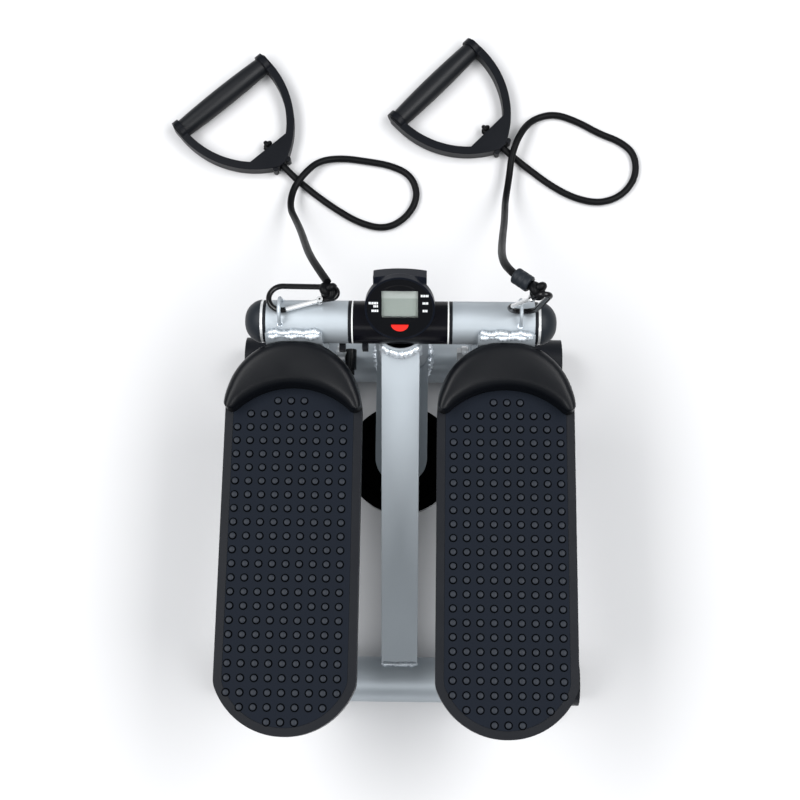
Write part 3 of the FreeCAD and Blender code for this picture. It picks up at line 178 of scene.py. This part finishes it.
CHROME = material("chrome_rod", (0.78, 0.78, 0.79), rough=0.1, metal=1.0, grain=900, bump=0.03)
PULLEY = material("pulley_black", (0.0004, 0.0004, 0.0006), rough=0.6, specular=0.015,
                  grain=900, bump=0.12)
CABLE = material("steel_cable", (0.40, 0.41, 0.42), rough=0.35, metal=0.8, grain=2400, bump=0.5,
                 depth=0.0004)
CONSOLE = material("console_black", (0.0032, 0.0046, 0.0090), rough=0.36, specular=0.12,
                   grain=1900, bump=0.08, bevel=0.0008)
FACE = material("console_face", (0.0022, 0.0025, 0.0036), rough=0.40, specular=0.12,
                grain=1900, bump=0.05)
BUTTON = material("button_red", (0.80, 0.018, 0.010), rough=0.32, grain=1200, bump=0.05,
                  coat=0.2)
MARK = material("pad_print", (0.82, 0.84, 0.86), rough=0.6, grain=1500, bump=0.05)
BOARD = material("board_green", (0.02, 0.12, 0.04), rough=0.45, grain=900, bump=0.1)
CORD = material("cord_rubber", (0.0018, 0.0020, 0.0027), rough=0.45, specular=0.12,
                grain=2200, bump=0.35, depth=0.0003)
FOAM = material("grip_foam", (0.0050, 0.0058, 0.0076), rough=0.42, specular=0.22, grain=1600,
                bump=0.25, depth=0.0003)
HANDLE = material("handle_black", (0.0026, 0.0034, 0.0056), rough=0.40, specular=0.13,
                  grain=1500, bump=0.15, bevel=0.0016)
LENS = material("lens_clear", (0.90, 0.93, 0.92), rough=0.06, grain=500, bump=0.0, mottle=0.02,
                rough_spread=0.01, transmission=1.0, alpha=0.35)
SCREEN = material("screen_grey", (0.30, 0.335, 0.31), rough=0.35, grain=900, bump=0.02,
                  mottle=0.04)


def paint(names, look):
    for name in names:
        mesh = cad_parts[name].data
        mesh.materials.clear()
        mesh.materials.append(look)


SIDES = ("left", "right")


def both(*parts):
    return [f"{side}_{part}" for side in SIDES for part in parts]


paint(["front_cross_tube", "rear_cross_tube", "upright_tube", "centre_beam", "pulley_strap",
       "damper_brackets", *both("sleeve", "pedal_arm", "cable_lever")], SILVER)
paint(["tube_end_caps", "console_bracket", "reed_sensor", "sensor_magnet",
       *both("sleeve_bushes", "pedal_tray")], BLACK)
paint(both("tread_mat"), TREAD)
paint(both("toe_bumper"), BUMPER)
paint(["axle_end_domes"], DOME)
paint(["axle_centre_tube"], TUBE_BLACK)
paint(["axle_shaft", "pulley_bolt", "damper_lower_pins", "console_screws", "right_cable_eye",
       *both("pedal_fasteners")], ZINC)
paint(["axle_end_bolts"], WASHER)
paint(["thrust_washers", "pulley_bush"], NYLON)
paint(["left_cable_adjuster", *both("carabiner_body")], HOOK)
paint(both("carabiner_gate"), GATE)
paint(both("damper_barrel"), DAMPER)
paint(both("damper_rod"), CHROME)
paint(["cable_pulley"], PULLEY)
paint(["console_housing"], CONSOLE)
paint(["console_face"], FACE)
paint(["mode_button"], BUTTON)
paint(["circuit_board"], BOARD)
paint(["button_cell"], CHROME)
paint(["screen_lens"], LENS)
paint(["screen_panel"], SCREEN)
paint(both("handle_frame"), HANDLE)
paint(["handle_grips"], FOAM)

# ------------------------------------------------------------------ mesh helpers


def millimetres(points):
    return [Vector(p) * MM for p in points]


def add_piece(name, verts, faces, look, body, smooth=True):
    mesh = bpy.data.meshes.new(name)
    mesh.from_pydata([tuple(v) for v in verts], [], faces)
    mesh.validate()
    made = bmesh.new()
    made.from_mesh(mesh)
    bmesh.ops.recalc_face_normals(made, faces=made.faces)
    made.to_mesh(mesh)
    made.free()
    for polygon in mesh.polygons:
        polygon.use_smooth = smooth
    mesh.materials.append(look)
    piece = bpy.data.objects.new(name, mesh)
    scene.collection.objects.link(piece)
    if body:
        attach(piece, body)
    return piece


def tube(points, radii, sides=12, closed=False):
    """Rings round a path, with a frame carried along it; returns vertices and faces."""
    points = [Vector(p) for p in points]
    count = len(points)
    tangents = []
    for i in range(count):
        before = points[i - 1] if closed or i else points[0]
        after = points[(i + 1) % count] if closed or i < count - 1 else points[-1]
        tangents.append((after - before).normalized())
    side = tangents[0].orthogonal().normalized()
    verts, faces = [], []
    for i, (point, tangent) in enumerate(zip(points, tangents)):
        side = (side - tangent * side.dot(tangent)).normalized()
        other = tangent.cross(side)
        for j in range(sides):
            angle = 2 * math.pi * j / sides
            verts.append(point + (side * math.cos(angle) + other * math.sin(angle)) * radii[i])
    for i in range(count if closed else count - 1):
        a, b = i * sides, ((i + 1) % count) * sides
        for j in range(sides):
            k = (j + 1) % sides
            faces.append((a + j, a + k, b + k, b + j))
    if not closed:
        faces.append(tuple(range(sides))[::-1])
        faces.append(tuple((count - 1) * sides + j for j in range(sides)))
    return verts, faces


def weld_bead(name, points, radius, body, sides=10, step=0.0011, rough=0.22):
    """A weld bead: lapped ripples along a path, uneven in size and place."""
    path = [Vector(p) for p in points]
    dense = [path[0]]
    for a, b in zip(path, path[1:]):
        parts = max(1, round((b - a).length / step))
        dense.extend(a.lerp(b, (k + 1) / parts) for k in range(parts))
    radii = []
    drift = 1.0
    for i, point in enumerate(dense):
        ripple = 1.0 + 0.16 * (i % 3 - 1)
        drift += random.uniform(-rough, rough) * 0.5
        drift = min(1.25, max(0.78, drift))
        end = min(1.0, 0.35 + 0.3 * min(i, len(dense) - 1 - i))
        radii.append(radius * ripple * drift * end)
        dense[i] = point + Vector([random.uniform(-1, 1) for _ in range(3)]) * radius * 0.12
    verts, faces = tube(dense, radii, sides)
    return add_piece(name, verts, faces, WELD_GLINT_SILVER, body)


# ------------------------------------------------------------------ resistance bands

CORD_DIAMETER = 0.0064
CORD_POINTS = {
    "left": [
        (-132.2, 348.4, 8.0), (-113.5, 327.0, 6.9), (-92, 308.5, 3.2), (-68.5, 291, 3.2),
        (-43, 275.5, 3.2), (-18, 270, 3.2), (2, 282.5, 3.2), (11.5, 303, 3.2),
        (4.5, 323, 3.2), (-14.5, 332.5, 3.2), (-38, 336.5, 3.2), (-61, 339.5, 3.2),
        (-81.5, 335.5, 7), (-94, 322.5, 11.8), (-105, 307, 11.8), (-107.5, 286, 17),
        (-98, 264.5, 42), (-89.5, 242, 80), (-82, 219, 120), (-74.5, 198, 158),
        (-65.6, 180.5, 181), (-57.1, 166.5, 193)],
    "right": [
        (72.4, 365.8, 8.0), (92.9, 346.0, 6.9), (115, 329, 3.2), (136.5, 312.5, 3.2),
        (158, 301, 3.2), (181, 296.5, 3.2), (202, 304.5, 3.2), (215, 323, 3.2),
        (214, 345, 3.2), (200.5, 357.5, 3.2), (181, 365, 3.2), (161, 376.8, 3.2),
        (138.5, 385, 3.2), (118, 378.5, 4.5), (106, 361, 14.6), (98, 340, 15.6),
        (95.5, 317, 14), (91.5, 292, 22), (89.5, 272, 50), (87, 250, 84), (83.5, 227, 124),
        (80.5, 205, 163), (78.8, 188, 196), (79.5, 174.5, 219), (84.8, 164, 231.5),
        (92.3, 157.2, 235.8), (99.8, 151.8, 235.8)],
}
KNOT_SIZE, KNOT_STRAND, KNOT_TURN = 4.9, 3.1, (0.5, 0.4)
STOPPER_SIZE, STOPPER_STRAND, STOPPER_TURN = 2.9, 2.1, (0.3, 0.9)
KNOT_CENTRES = {"left": (-56.5, 160.0, 190.5), "right": (103.2, 149.5, 236.0)}
STOPPER_CENTRES = {"left": (-130.6, 350.2, 8.2), "right": (74.0, 367.0, 8.2)}


def cord_curve(side):
    data = bpy.data.curves.new(f"{side}_cord", "CURVE")
    data.dimensions = "3D"
    spline = data.splines.new("NURBS")
    points = CORD_POINTS[side]
    spline.points.add(len(points) - 1)
    for spot, (x, y, z) in zip(spline.points, points):
        spot.co = (x * MM, y * MM, z * MM, 1.0)
    spline.order_u = 3
    spline.use_endpoint_u = True
    spline.resolution_u = 10
    data.bevel_depth = CORD_DIAMETER / 2
    data.bevel_resolution = 5
    data.use_fill_caps = True
    data.materials.append(CORD)
    piece = bpy.data.objects.new(f"{side}_cord", data)
    scene.collection.objects.link(piece)
    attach(piece, "base")
    return piece


def knot(name, centre, size, strand, turn):
    """A pulled-up overhand knot: a closed trefoil of cord."""
    steps = 96
    spin = Matrix.Rotation(turn[0], 3, "X") @ Matrix.Rotation(turn[1], 3, "Y")
    path = []
    for i in range(steps):
        t = 2 * math.pi * i / steps
        spot = Vector((math.sin(t) + 2 * math.sin(2 * t), math.cos(t) - 2 * math.cos(2 * t),
                       -1.35 * math.sin(3 * t)))
        path.append(Vector(centre) * MM + spin @ spot * (size * MM / 3))
    verts, faces = tube(path, [strand * MM] * steps, 12, closed=True)
    return add_piece(name, verts, faces, CORD, "base")


FERRULE_ENDS = ((86.6, 161.9, 233.2), (97.8, 153.3, 236.3))
FERRULE_PROFILE = [(0.0, 3.5), (0.0, 5.4), (0.5, 6.1), (1.2, 6.4), (3.6, 6.4), (4.1, 6.1),
                   (4.6, 6.4), (8.2, 6.4), (8.7, 6.1), (9.2, 6.4), (13.0, 6.4), (13.6, 6.1),
                   (14.1, 5.4), (14.1, 3.5)]


def ferrule(sides=28):
    """The crimped sleeve on the right band, open at both rims."""
    start, end = millimetres(FERRULE_ENDS)
    axis = (end - start).normalized()
    length = (end - start).length
    side = axis.orthogonal().normalized()
    other = axis.cross(side)
    scale = length / (FERRULE_PROFILE[-1][0] * MM)
    verts, faces = [], []
    for along, radius in FERRULE_PROFILE:
        for j in range(sides):
            angle = 2 * math.pi * j / sides
            verts.append(start + axis * along * MM * scale
                         + (side * math.cos(angle) + other * math.sin(angle)) * radius * MM)
    rows = len(FERRULE_PROFILE)
    for i in range(rows):
        a, b = i * sides, ((i + 1) % rows) * sides
        for j in range(sides):
            k = (j + 1) % sides
            faces.append((a + j, a + k, b + k, b + j))
    return add_piece("right_cord_ferrule", verts, faces, DOME, "base")


for side in SIDES:
    cord = cord_curve(side)
    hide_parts(f"{side}_band_cord")
    tip = knot(f"{side}_cord_knot", KNOT_CENTRES[side], KNOT_SIZE, KNOT_STRAND, KNOT_TURN)
    stop = knot(f"{side}_cord_stopper", STOPPER_CENTRES[side], STOPPER_SIZE, STOPPER_STRAND,
                STOPPER_TURN)
    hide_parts("cord_knots")
    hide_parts("cord_knots")
    if side == "right":
        sleeve = ferrule()
        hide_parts("cord_knots")

# ------------------------------------------------------------------ studs on the treads

PEDAL_X, PEDAL_Y, PEDAL_Z = 0.0836, -0.0285, 0.1704
PEDAL_SLOPE = math.radians(3.62)
STUD_PITCH_X, STUD_PITCH_Y = 0.01043, 0.01075
STUD_ROWS, STUDS_PER_ROW = 24, 9
SHORT_ROWS = {0: 3, 1: 7, STUD_ROWS - 2: 7, STUD_ROWS - 1: 3}
# Rings from this one outward, and the bottom caps, take the painted shade colour.
SHADE_FROM_RING = 2
STUD_SHIFT = {"left": (-0.0021, -0.0178), "right": (0.0008, -0.0178)}
STUD_PROFILE = [(1.3, 1.80), (1.9, 1.66), (2.3, 1.35), (2.7, 0.80), (3.1, 0.20),
                (3.3, -0.05)]


def pedal_matrix(side):
    sign = -1 if side == "left" else 1
    return Matrix.Translation((sign * PEDAL_X, PEDAL_Y, PEDAL_Z)) @ Matrix.Rotation(
        -PEDAL_SLOPE, 4, "X")


def stud_spots(side):
    """Rows from toe to heel: short first and last rows, nine studs between them."""
    shift_x, shift_y = STUD_SHIFT[side]
    spots = []
    for row in range(STUD_ROWS):
        count = SHORT_ROWS.get(row, STUDS_PER_ROW)
        y = ((STUD_ROWS - 1) / 2 - row) * STUD_PITCH_Y + shift_y
        spots.extend(((k - (count - 1) / 2) * STUD_PITCH_X + shift_x, y) for k in range(count))
    return spots


def add_studs(side, ring_sides=16):
    place = pedal_matrix(side)
    verts, faces, shade_faces = [], [], []
    for x, y in stud_spots(side):
        start = len(verts)
        for radius, height in STUD_PROFILE:
            for j in range(ring_sides):
                angle = 2 * math.pi * j / ring_sides
                verts.append(place @ Vector((x + radius * MM * math.cos(angle),
                                             y + radius * MM * math.sin(angle), height * MM)))
        for i in range(len(STUD_PROFILE) - 1):
            a, b = start + i * ring_sides, start + (i + 1) * ring_sides
            for j in range(ring_sides):
                k = (j + 1) % ring_sides
                faces.append((a + j, b + j, b + k, a + k))
                shade_faces.append(i >= SHADE_FROM_RING)
        last = start + (len(STUD_PROFILE) - 1) * ring_sides
        faces.append(tuple(start + j for j in range(ring_sides)))
        faces.append(tuple(last + j for j in range(ring_sides))[::-1])
        shade_faces.extend((False, True))
    piece = add_piece(f"{side}_studs", verts, faces, STUD_TOP_HIGHLIGHT, f"{side}_pedal")
    piece.data.materials.append(STUD_PAINTED_SHADE)
    for polygon, in_shade in zip(piece.data.polygons, shade_faces):
        polygon.material_index = 1 if in_shade else 0


for side in SIDES:
    add_studs(side)

# ------------------------------------------------------------------ toe bumpers

TOE_CENTRE, TOE_R = (0.0, 98.0), 54.0
INNER_CENTRE, INNER_R = (0.0, 52.0), 64.0
HORN_R, HORN_STEPS, HORN_FIRST, ARC_STEPS = 5.5, 9, 0.35, 64
EDGE_OUT, EDGE_IN, CROWN, FULL_CROWN_WIDTH = 8.0, 6.0, 2.2, 30.0
HEEL_HEIGHT, TOE_HEIGHT, HEEL_Y, RISE_LENGTH = 14.0, 25.0, 90.0, 62.0
TOP_SLOPE = (TOE_HEIGHT - HEEL_HEIGHT) / RISE_LENGTH
CROSS_SLOPE = 0.177
WALL_LEVELS = (0.0, 0.35, 0.7)
TOP_SHARES = (0, 0.02, 0.05, 0.1, 0.16, 0.24, 0.34, 0.44, 0.54, 0.64, 0.73, 0.81, 0.88, 0.94,
              0.98, 1)
AXLE_CLEAR = 21.3


def on_circle(centre, radius, angle):
    return Vector((centre[0] + radius * math.cos(angle), centre[1] + radius * math.sin(angle)))


def crescent_columns():
    """Pairs of points, outer and inner, from one horn's tip round to the other's."""
    reach = TOE_R - HORN_R
    gap = TOE_CENTRE[1] - INNER_CENTRE[1]
    horn_y = ((INNER_R + HORN_R) ** 2 - reach ** 2) / (2 * gap) + (
        TOE_CENTRE[1] + INNER_CENTRE[1]) / 2
    horn_x = math.sqrt(reach ** 2 - (horn_y - TOE_CENTRE[1]) ** 2)
    out = math.atan2(horn_y - TOE_CENTRE[1], horn_x)
    lean = math.atan2(horn_y - INNER_CENTRE[1], horn_x)
    horn = (horn_x, horn_y)
    columns = []
    tip = (out + math.pi + lean) / 2 - math.pi
    for k in range(HORN_STEPS):
        share = math.sin(math.pi / 2 * (k + HORN_FIRST) / HORN_STEPS)
        columns.append((on_circle(horn, HORN_R, tip + (out - tip) * share),
                        on_circle(horn, HORN_R, tip + (lean - math.pi - tip) * share)))
    for k in range(ARC_STEPS + 1):
        share = k / ARC_STEPS
        columns.append((on_circle(TOE_CENTRE, TOE_R, out + (math.pi - 2 * out) * share),
                        on_circle(INNER_CENTRE, INNER_R, lean + (math.pi - 2 * lean) * share)))
    mirrored = [(Vector((-a.x, a.y)), Vector((-b.x, b.y))) for a, b in columns[:HORN_STEPS]]
    return columns + mirrored[::-1]


def edge_drop(distance, radius):
    """How far a rounded edge has fallen at a distance in from its outline."""
    inward = min(distance, radius)
    return radius - math.sqrt(max(0.0, radius ** 2 - (radius - inward) ** 2))


def add_bumper(side):
    place = pedal_matrix(side)
    verts, faces = [], []
    rows = len(WALL_LEVELS) * 2 + len(TOP_SHARES)
    columns = crescent_columns()
    for outer, inner in columns:
        width = (outer - inner).length
        top = HEEL_HEIGHT + TOP_SLOPE * ((outer.y + inner.y) / 2 - HEEL_Y)
        edge_out, edge_in = min(EDGE_OUT, width * 0.45), min(EDGE_IN, width * 0.4)
        crown = CROWN * min(1.0, width / FULL_CROWN_WIDTH)

        def level(share):
            here = top + (outer.y - inner.y) * (0.5 - share) * CROSS_SLOPE
            here -= crown * (2 * share - 1) ** 2
            return here - edge_drop(share * width, edge_out) - edge_drop(
                (1 - share) * width, edge_in)

        column = [(outer, level(0) * t) for t in WALL_LEVELS]
        column += [(outer.lerp(inner, share), level(share)) for share in TOP_SHARES]
        column += [(inner, level(1) * t) for t in WALL_LEVELS[::-1]]
        for spot, height in column:
            world = place @ Vector((spot.x * MM, spot.y * MM, height * MM))
            dy, dz = world.y / MM - AXLE_Y, world.z / MM - AXLE_Z
            if math.hypot(dy, dz) < AXLE_CLEAR and abs(dz) < AXLE_CLEAR:
                world.y = (AXLE_Y - math.sqrt(AXLE_CLEAR ** 2 - dz ** 2)) * MM
            verts.append(world)
    for i in range(len(columns) - 1):
        a, b = i * rows, (i + 1) * rows
        for j in range(rows):
            k = (j + 1) % rows
            faces.append((a + j, b + j, b + k, a + k))
    faces.append(tuple(range(rows)))
    faces.append(tuple((len(columns) - 1) * rows + j for j in range(rows))[::-1])
    piece = add_piece(f"{side}_toe_stop", verts, faces, BUMPER, f"{side}_pedal")
    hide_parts(f"{side}_toe_bumper")


for side in SIDES:
    add_bumper(side)

# ------------------------------------------------------------------ welds

WRAP_EDGE, WRAP_RADIUS = math.radians(129.0), 20.2
EYE_X, EYE_Y, EYE_REACH, EYE_RING = 94.0, 144.0, 10.0, 1.9
ARM_BEAD_START, ARM_BEAD_LENGTH, ARM_BEAD_WAVE = 62.0, 43, 0.7
ARM_BEAD, EYE_BEAD, FOOT_BEAD = 2.5 * MM, 0.9 * MM, 3.4 * MM
FRONT_BEAD, SIDE_BEAD, REAR_BEAD = 3.3 * MM, 1.6 * MM, 2.1 * MM

for side in SIDES:
    sign = -1 if side == "left" else 1
    y = AXLE_Y + WRAP_RADIUS * math.cos(WRAP_EDGE)
    z = AXLE_Z + WRAP_RADIUS * math.sin(WRAP_EDGE)
    for label, ease in (("upper", 0.0), ("lower", 2.2)):
        wave = [(sign * (ARM_BEAD_START + t),
                 y - ease + ARM_BEAD_WAVE * math.sin(t * 0.42 + sign + ease),
                 z + 0.2 - 0.8 * ease) for t in range(0, ARM_BEAD_LENGTH, 2)]
        weld_bead(f"{side}_arm_weld_{label}", millimetres(wave), ARM_BEAD, f"{side}_pedal")
    for label, foot in (("front", 1), ("rear", -1)):
        foot_y = EYE_Y + foot * EYE_REACH
        level = AXLE_Z + math.sqrt(SLEEVE_R ** 2 - (foot_y - AXLE_Y) ** 2)
        loop = [(sign * EYE_X + EYE_RING * math.cos(a), foot_y + EYE_RING * math.sin(a), level)
                for a in (k * math.pi / 6 for k in range(13))]
        weld_bead(f"{side}_eye_weld_{label}", millimetres(loop), EYE_BEAD, f"{side}_pedal")

UPRIGHT_R, FLOOR_TUBE_R = 22.5, 19.3
FOOT_SPREAD, FOOT_LOWEST = 1.06, 30.5
foot_weld = []
for k in range(73):
    a = 2 * math.pi * k / 72
    x, dy = UPRIGHT_R * math.cos(a), UPRIGHT_R * math.sin(a)
    level = FLOOR_TUBE_Z + math.sqrt(max(0.0, FLOOR_TUBE_R ** 2 - dy ** 2))
    foot_weld.append((x * FOOT_SPREAD, AXLE_Y + dy * FOOT_SPREAD, max(FOOT_LOWEST, level + 0.8)))
weld_bead("upright_foot_weld", millimetres(foot_weld), FOOT_BEAD, "base")

BEAM_HALF, BEAM_DEPTH = 15.2, 30.4
BEAM_SLOPE = math.radians(25.8)
BEAM_HEEL_Y, BEAM_HEEL_Z = -127.0, 38.6
REAR_TUBE_R = 19.0


def beam_top(y):
    return BEAM_HEEL_Z + (y - BEAM_HEEL_Y) * math.tan(BEAM_SLOPE)


smile = []
for k in range(25):
    x = -BEAM_HALF + 2 * BEAM_HALF * k / 24
    y = AXLE_Y - math.sqrt(UPRIGHT_R ** 2 - x ** 2)
    smile.append((x, y - 0.4, beam_top(y) + 2.6))
weld_bead("beam_front_weld", millimetres(smile), FRONT_BEAD, "base")
drop = BEAM_DEPTH / math.cos(BEAM_SLOPE)
for label, sign in (("left", -1), ("right", 1)):
    edge_y = AXLE_Y - math.sqrt(UPRIGHT_R ** 2 - BEAM_HALF ** 2)
    line = [(sign * (BEAM_HALF + 0.3), edge_y, beam_top(edge_y) - t * drop / 8) for t in range(9)]
    weld_bead(f"beam_side_weld_{label}", millimetres(line), SIDE_BEAD, "base")

rear = []
for k in range(121):
    a = math.radians(10 + k)
    y, z = -AXLE_Y + REAR_TUBE_R * math.cos(a), FLOOR_TUBE_Z + REAR_TUBE_R * math.sin(a)
    if beam_top(y) >= z:
        rear.append((y, z))
rear_y, rear_z = max(rear, key=lambda p: p[1])
across = [(-BEAM_HALF + 2 * BEAM_HALF * k / 20, rear_y + 0.5, rear_z + 0.8) for k in range(21)]
weld_bead("beam_rear_weld", millimetres(across), REAR_BEAD, "base")

# ------------------------------------------------------------------ drive cable

CABLE_R, CABLE_Z, PULLEY_Y = 45.5, 56.0, 46.0
CABLE_SKIN, WRAP_START, WRAP_SPAN, WRAP_STEPS = 1.75, 180.0, 174.24, 60
RUN_START, RUN_END = Vector((45.27, 41.43, CABLE_Z)), Vector((53.9, 126.9, CABLE_Z))
RUN_STEPS, RUN_STEP = 40, 2.0


def cable_piece(name, path, blend_body=None):
    points = millimetres(path)
    verts, faces = tube(points, [CABLE_SKIN * MM] * len(points), 12)
    piece = add_piece(name, verts, faces, CABLE, None if blend_body else "base")
    if blend_body:
        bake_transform(piece)
    return piece


wrap = [(CABLE_R * math.cos(a), PULLEY_Y + CABLE_R * math.sin(a), CABLE_Z)
        for a in (math.radians(WRAP_START + WRAP_SPAN * k / WRAP_STEPS)
                  for k in range(WRAP_STEPS + 1))]
left_run = [(-CABLE_R, PULLEY_Y + t * RUN_STEP, CABLE_Z) for t in range(RUN_STEPS + 1)]
right_run = [RUN_START.lerp(RUN_END, t / RUN_STEPS) for t in range(RUN_STEPS + 1)]
pieces = [cable_piece("cable_wrap", wrap), cable_piece("cable_left_run", left_run, "left_pedal"),
          cable_piece("cable_right_run", right_run, "right_pedal")]
for piece in pieces:
    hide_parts("drive_cable")

# ------------------------------------------------------------------ console marks and screen

CONSOLE_PLACE = Matrix.Translation((0, 0.1415, 0.207)) @ Matrix.Rotation(
    math.radians(43.0), 4, "X")


def rounded_bar(width, height, radius=0.25, steps=4):
    """Outline points of a rounded bar, in millimetres."""
    points = []
    for cx, cy, start in ((width / 2 - radius, height / 2 - radius, 0),
                          (-width / 2 + radius, height / 2 - radius, 90),
                          (-width / 2 + radius, -height / 2 + radius, 180),
                          (width / 2 - radius, -height / 2 + radius, 270)):
        for k in range(steps + 1):
            a = math.radians(start + 90 * k / steps)
            points.append((cx + radius * math.cos(a), cy + radius * math.sin(a)))
    return points


def face_marks(name, bars, thick, look):
    verts, faces = [], []
    for cx, cy, width, height in bars:
        outline = rounded_bar(width, height)
        start, count = len(verts), len(outline)
        for level in (-0.02, thick):
            verts.extend(CONSOLE_PLACE @ (Vector((cx + x, cy + y, level)) * MM)
                         for x, y in outline)
        for j in range(count):
            k = (j + 1) % count
            faces.append((start + j, start + k, start + count + k, start + count + j))
        faces.append(tuple(range(start + count, start + 2 * count)))
        faces.append(tuple(range(start, start + count))[::-1])
    return add_piece(name, verts, faces, look, "base", smooth=False)


# each row of ticks: centre x, centre y, width and number of ticks, on the console's face
TICK_ROWS = [(-20.2, 4.9, 7.4, 6), (-18.4, 2.2, 3.8, 3), (-19.1, -1.7, 5.6, 4),
             (19.0, 11.4, 6.2, 5), (19.6, 5.0, 4.6, 4), (19.4, -1.6, 4.0, 3)]
TICK_FILL, TICK_HEIGHT, TICK_THICK = 0.68, 2.0, 0.06
ticks = []
for row_x, row_y, width, count in TICK_ROWS:
    step = width / count
    ticks.extend((row_x - width / 2 + step * (k + 0.5), row_y, step * TICK_FILL, TICK_HEIGHT)
                 for k in range(count))
face_marks("console_marks", ticks, TICK_THICK, MARK)

BROW_STEPS, BROW_HALF, BROW_TOP, BROW_SAG, BROW_R = 24, 11.6, 20.2, 3.4, 0.55
brow = [(BROW_HALF * (2 * k / BROW_STEPS - 1), BROW_TOP - BROW_SAG * (2 * k / BROW_STEPS - 1) ** 2,
         -0.1) for k in range(BROW_STEPS + 1)]
verts, faces = tube([CONSOLE_PLACE @ (Vector(p) * MM) for p in brow], [BROW_R * MM] * len(brow),
                    8)
add_piece("console_brow", verts, faces, FACE, "base")

# A lighter copy of the screen grey over its top band: a painted reflection on the screen.
SCREEN_GLARE = material("screen_painted_reflection", (0.42, 0.45, 0.43), rough=0.4, grain=900, bump=0.02,
                       mottle=0.10)
BAND_HALF, BAND_LOW, BAND_HIGH = 14.2, 8.0, 15.5
BAND_FACES = (-2.52, -2.40)
band = []
for z in BAND_FACES:
    band.extend(CONSOLE_PLACE @ (Vector((x, y, z)) * MM)
                for x, y in ((-BAND_HALF, BAND_LOW), (BAND_HALF, BAND_LOW),
                             (BAND_HALF, BAND_HIGH), (-BAND_HALF, BAND_HIGH)))
add_piece("screen_top_band", band, [(3, 2, 1, 0), (4, 5, 6, 7), (0, 1, 5, 4), (1, 2, 6, 5),
                                    (2, 3, 7, 6), (3, 0, 4, 7)],
          SCREEN_GLARE, "base", smooth=False)

# ------------------------------------------------------------------ floor and light


def add_floor():
    half = 6.0
    mesh = bpy.data.meshes.new("floor")
    mesh.from_pydata([(-half, -half, 0), (half, -half, 0), (half, half, 0), (-half, half, 0)],
                     [], [(0, 1, 2, 3)])
    floor = bpy.data.objects.new("floor", mesh)
    look = bpy.data.materials.new("pale_floor")
    look.use_nodes = True
    shader = look.node_tree.nodes["Principled BSDF"]
    shader.inputs["Base Color"].default_value = (0.62, 0.62, 0.63, 1)
    shader.inputs["Roughness"].default_value = 0.8
    shader.inputs["Specular IOR Level"].default_value = 0.1
    mesh.materials.append(look)
    scene.collection.objects.link(floor)


def add_area(name, place, target, size, power):
    data = bpy.data.lights.new(name, "AREA")
    data.shape = "RECTANGLE"
    data.size, data.size_y = size
    data.energy = power
    lamp = bpy.data.objects.new(name, data)
    lamp.location = place
    aim = Vector(target) - Vector(place)
    lamp.rotation_euler = aim.to_track_quat("-Z", "Y").to_euler()
    scene.collection.objects.link(lamp)


def add_world(strength):
    """A dim, even studio, so that the floor under the machine stays in shade."""
    world = bpy.data.worlds.new("studio")
    world.use_nodes = True
    backdrop = world.node_tree.nodes["Background"]
    backdrop.inputs["Color"].default_value = (0.93, 0.97, 1.0, 1)
    backdrop.inputs["Strength"].default_value = strength
    scene.world = world


add_floor()
add_world(0.40)
scene.view_settings.view_transform = "Standard"
AIM = (0, 0.05, 0.1)
add_area("left_softbox", (-1.15, 0.10, 1.95), AIM, (2.2, 0.9), 48)
add_area("right_softbox", (1.15, 0.10, 1.95), AIM, (2.2, 0.9), 48)
add_area("front_softbox", (0.05, -1.35, 1.75), AIM, (1.2, 0.6), 4)
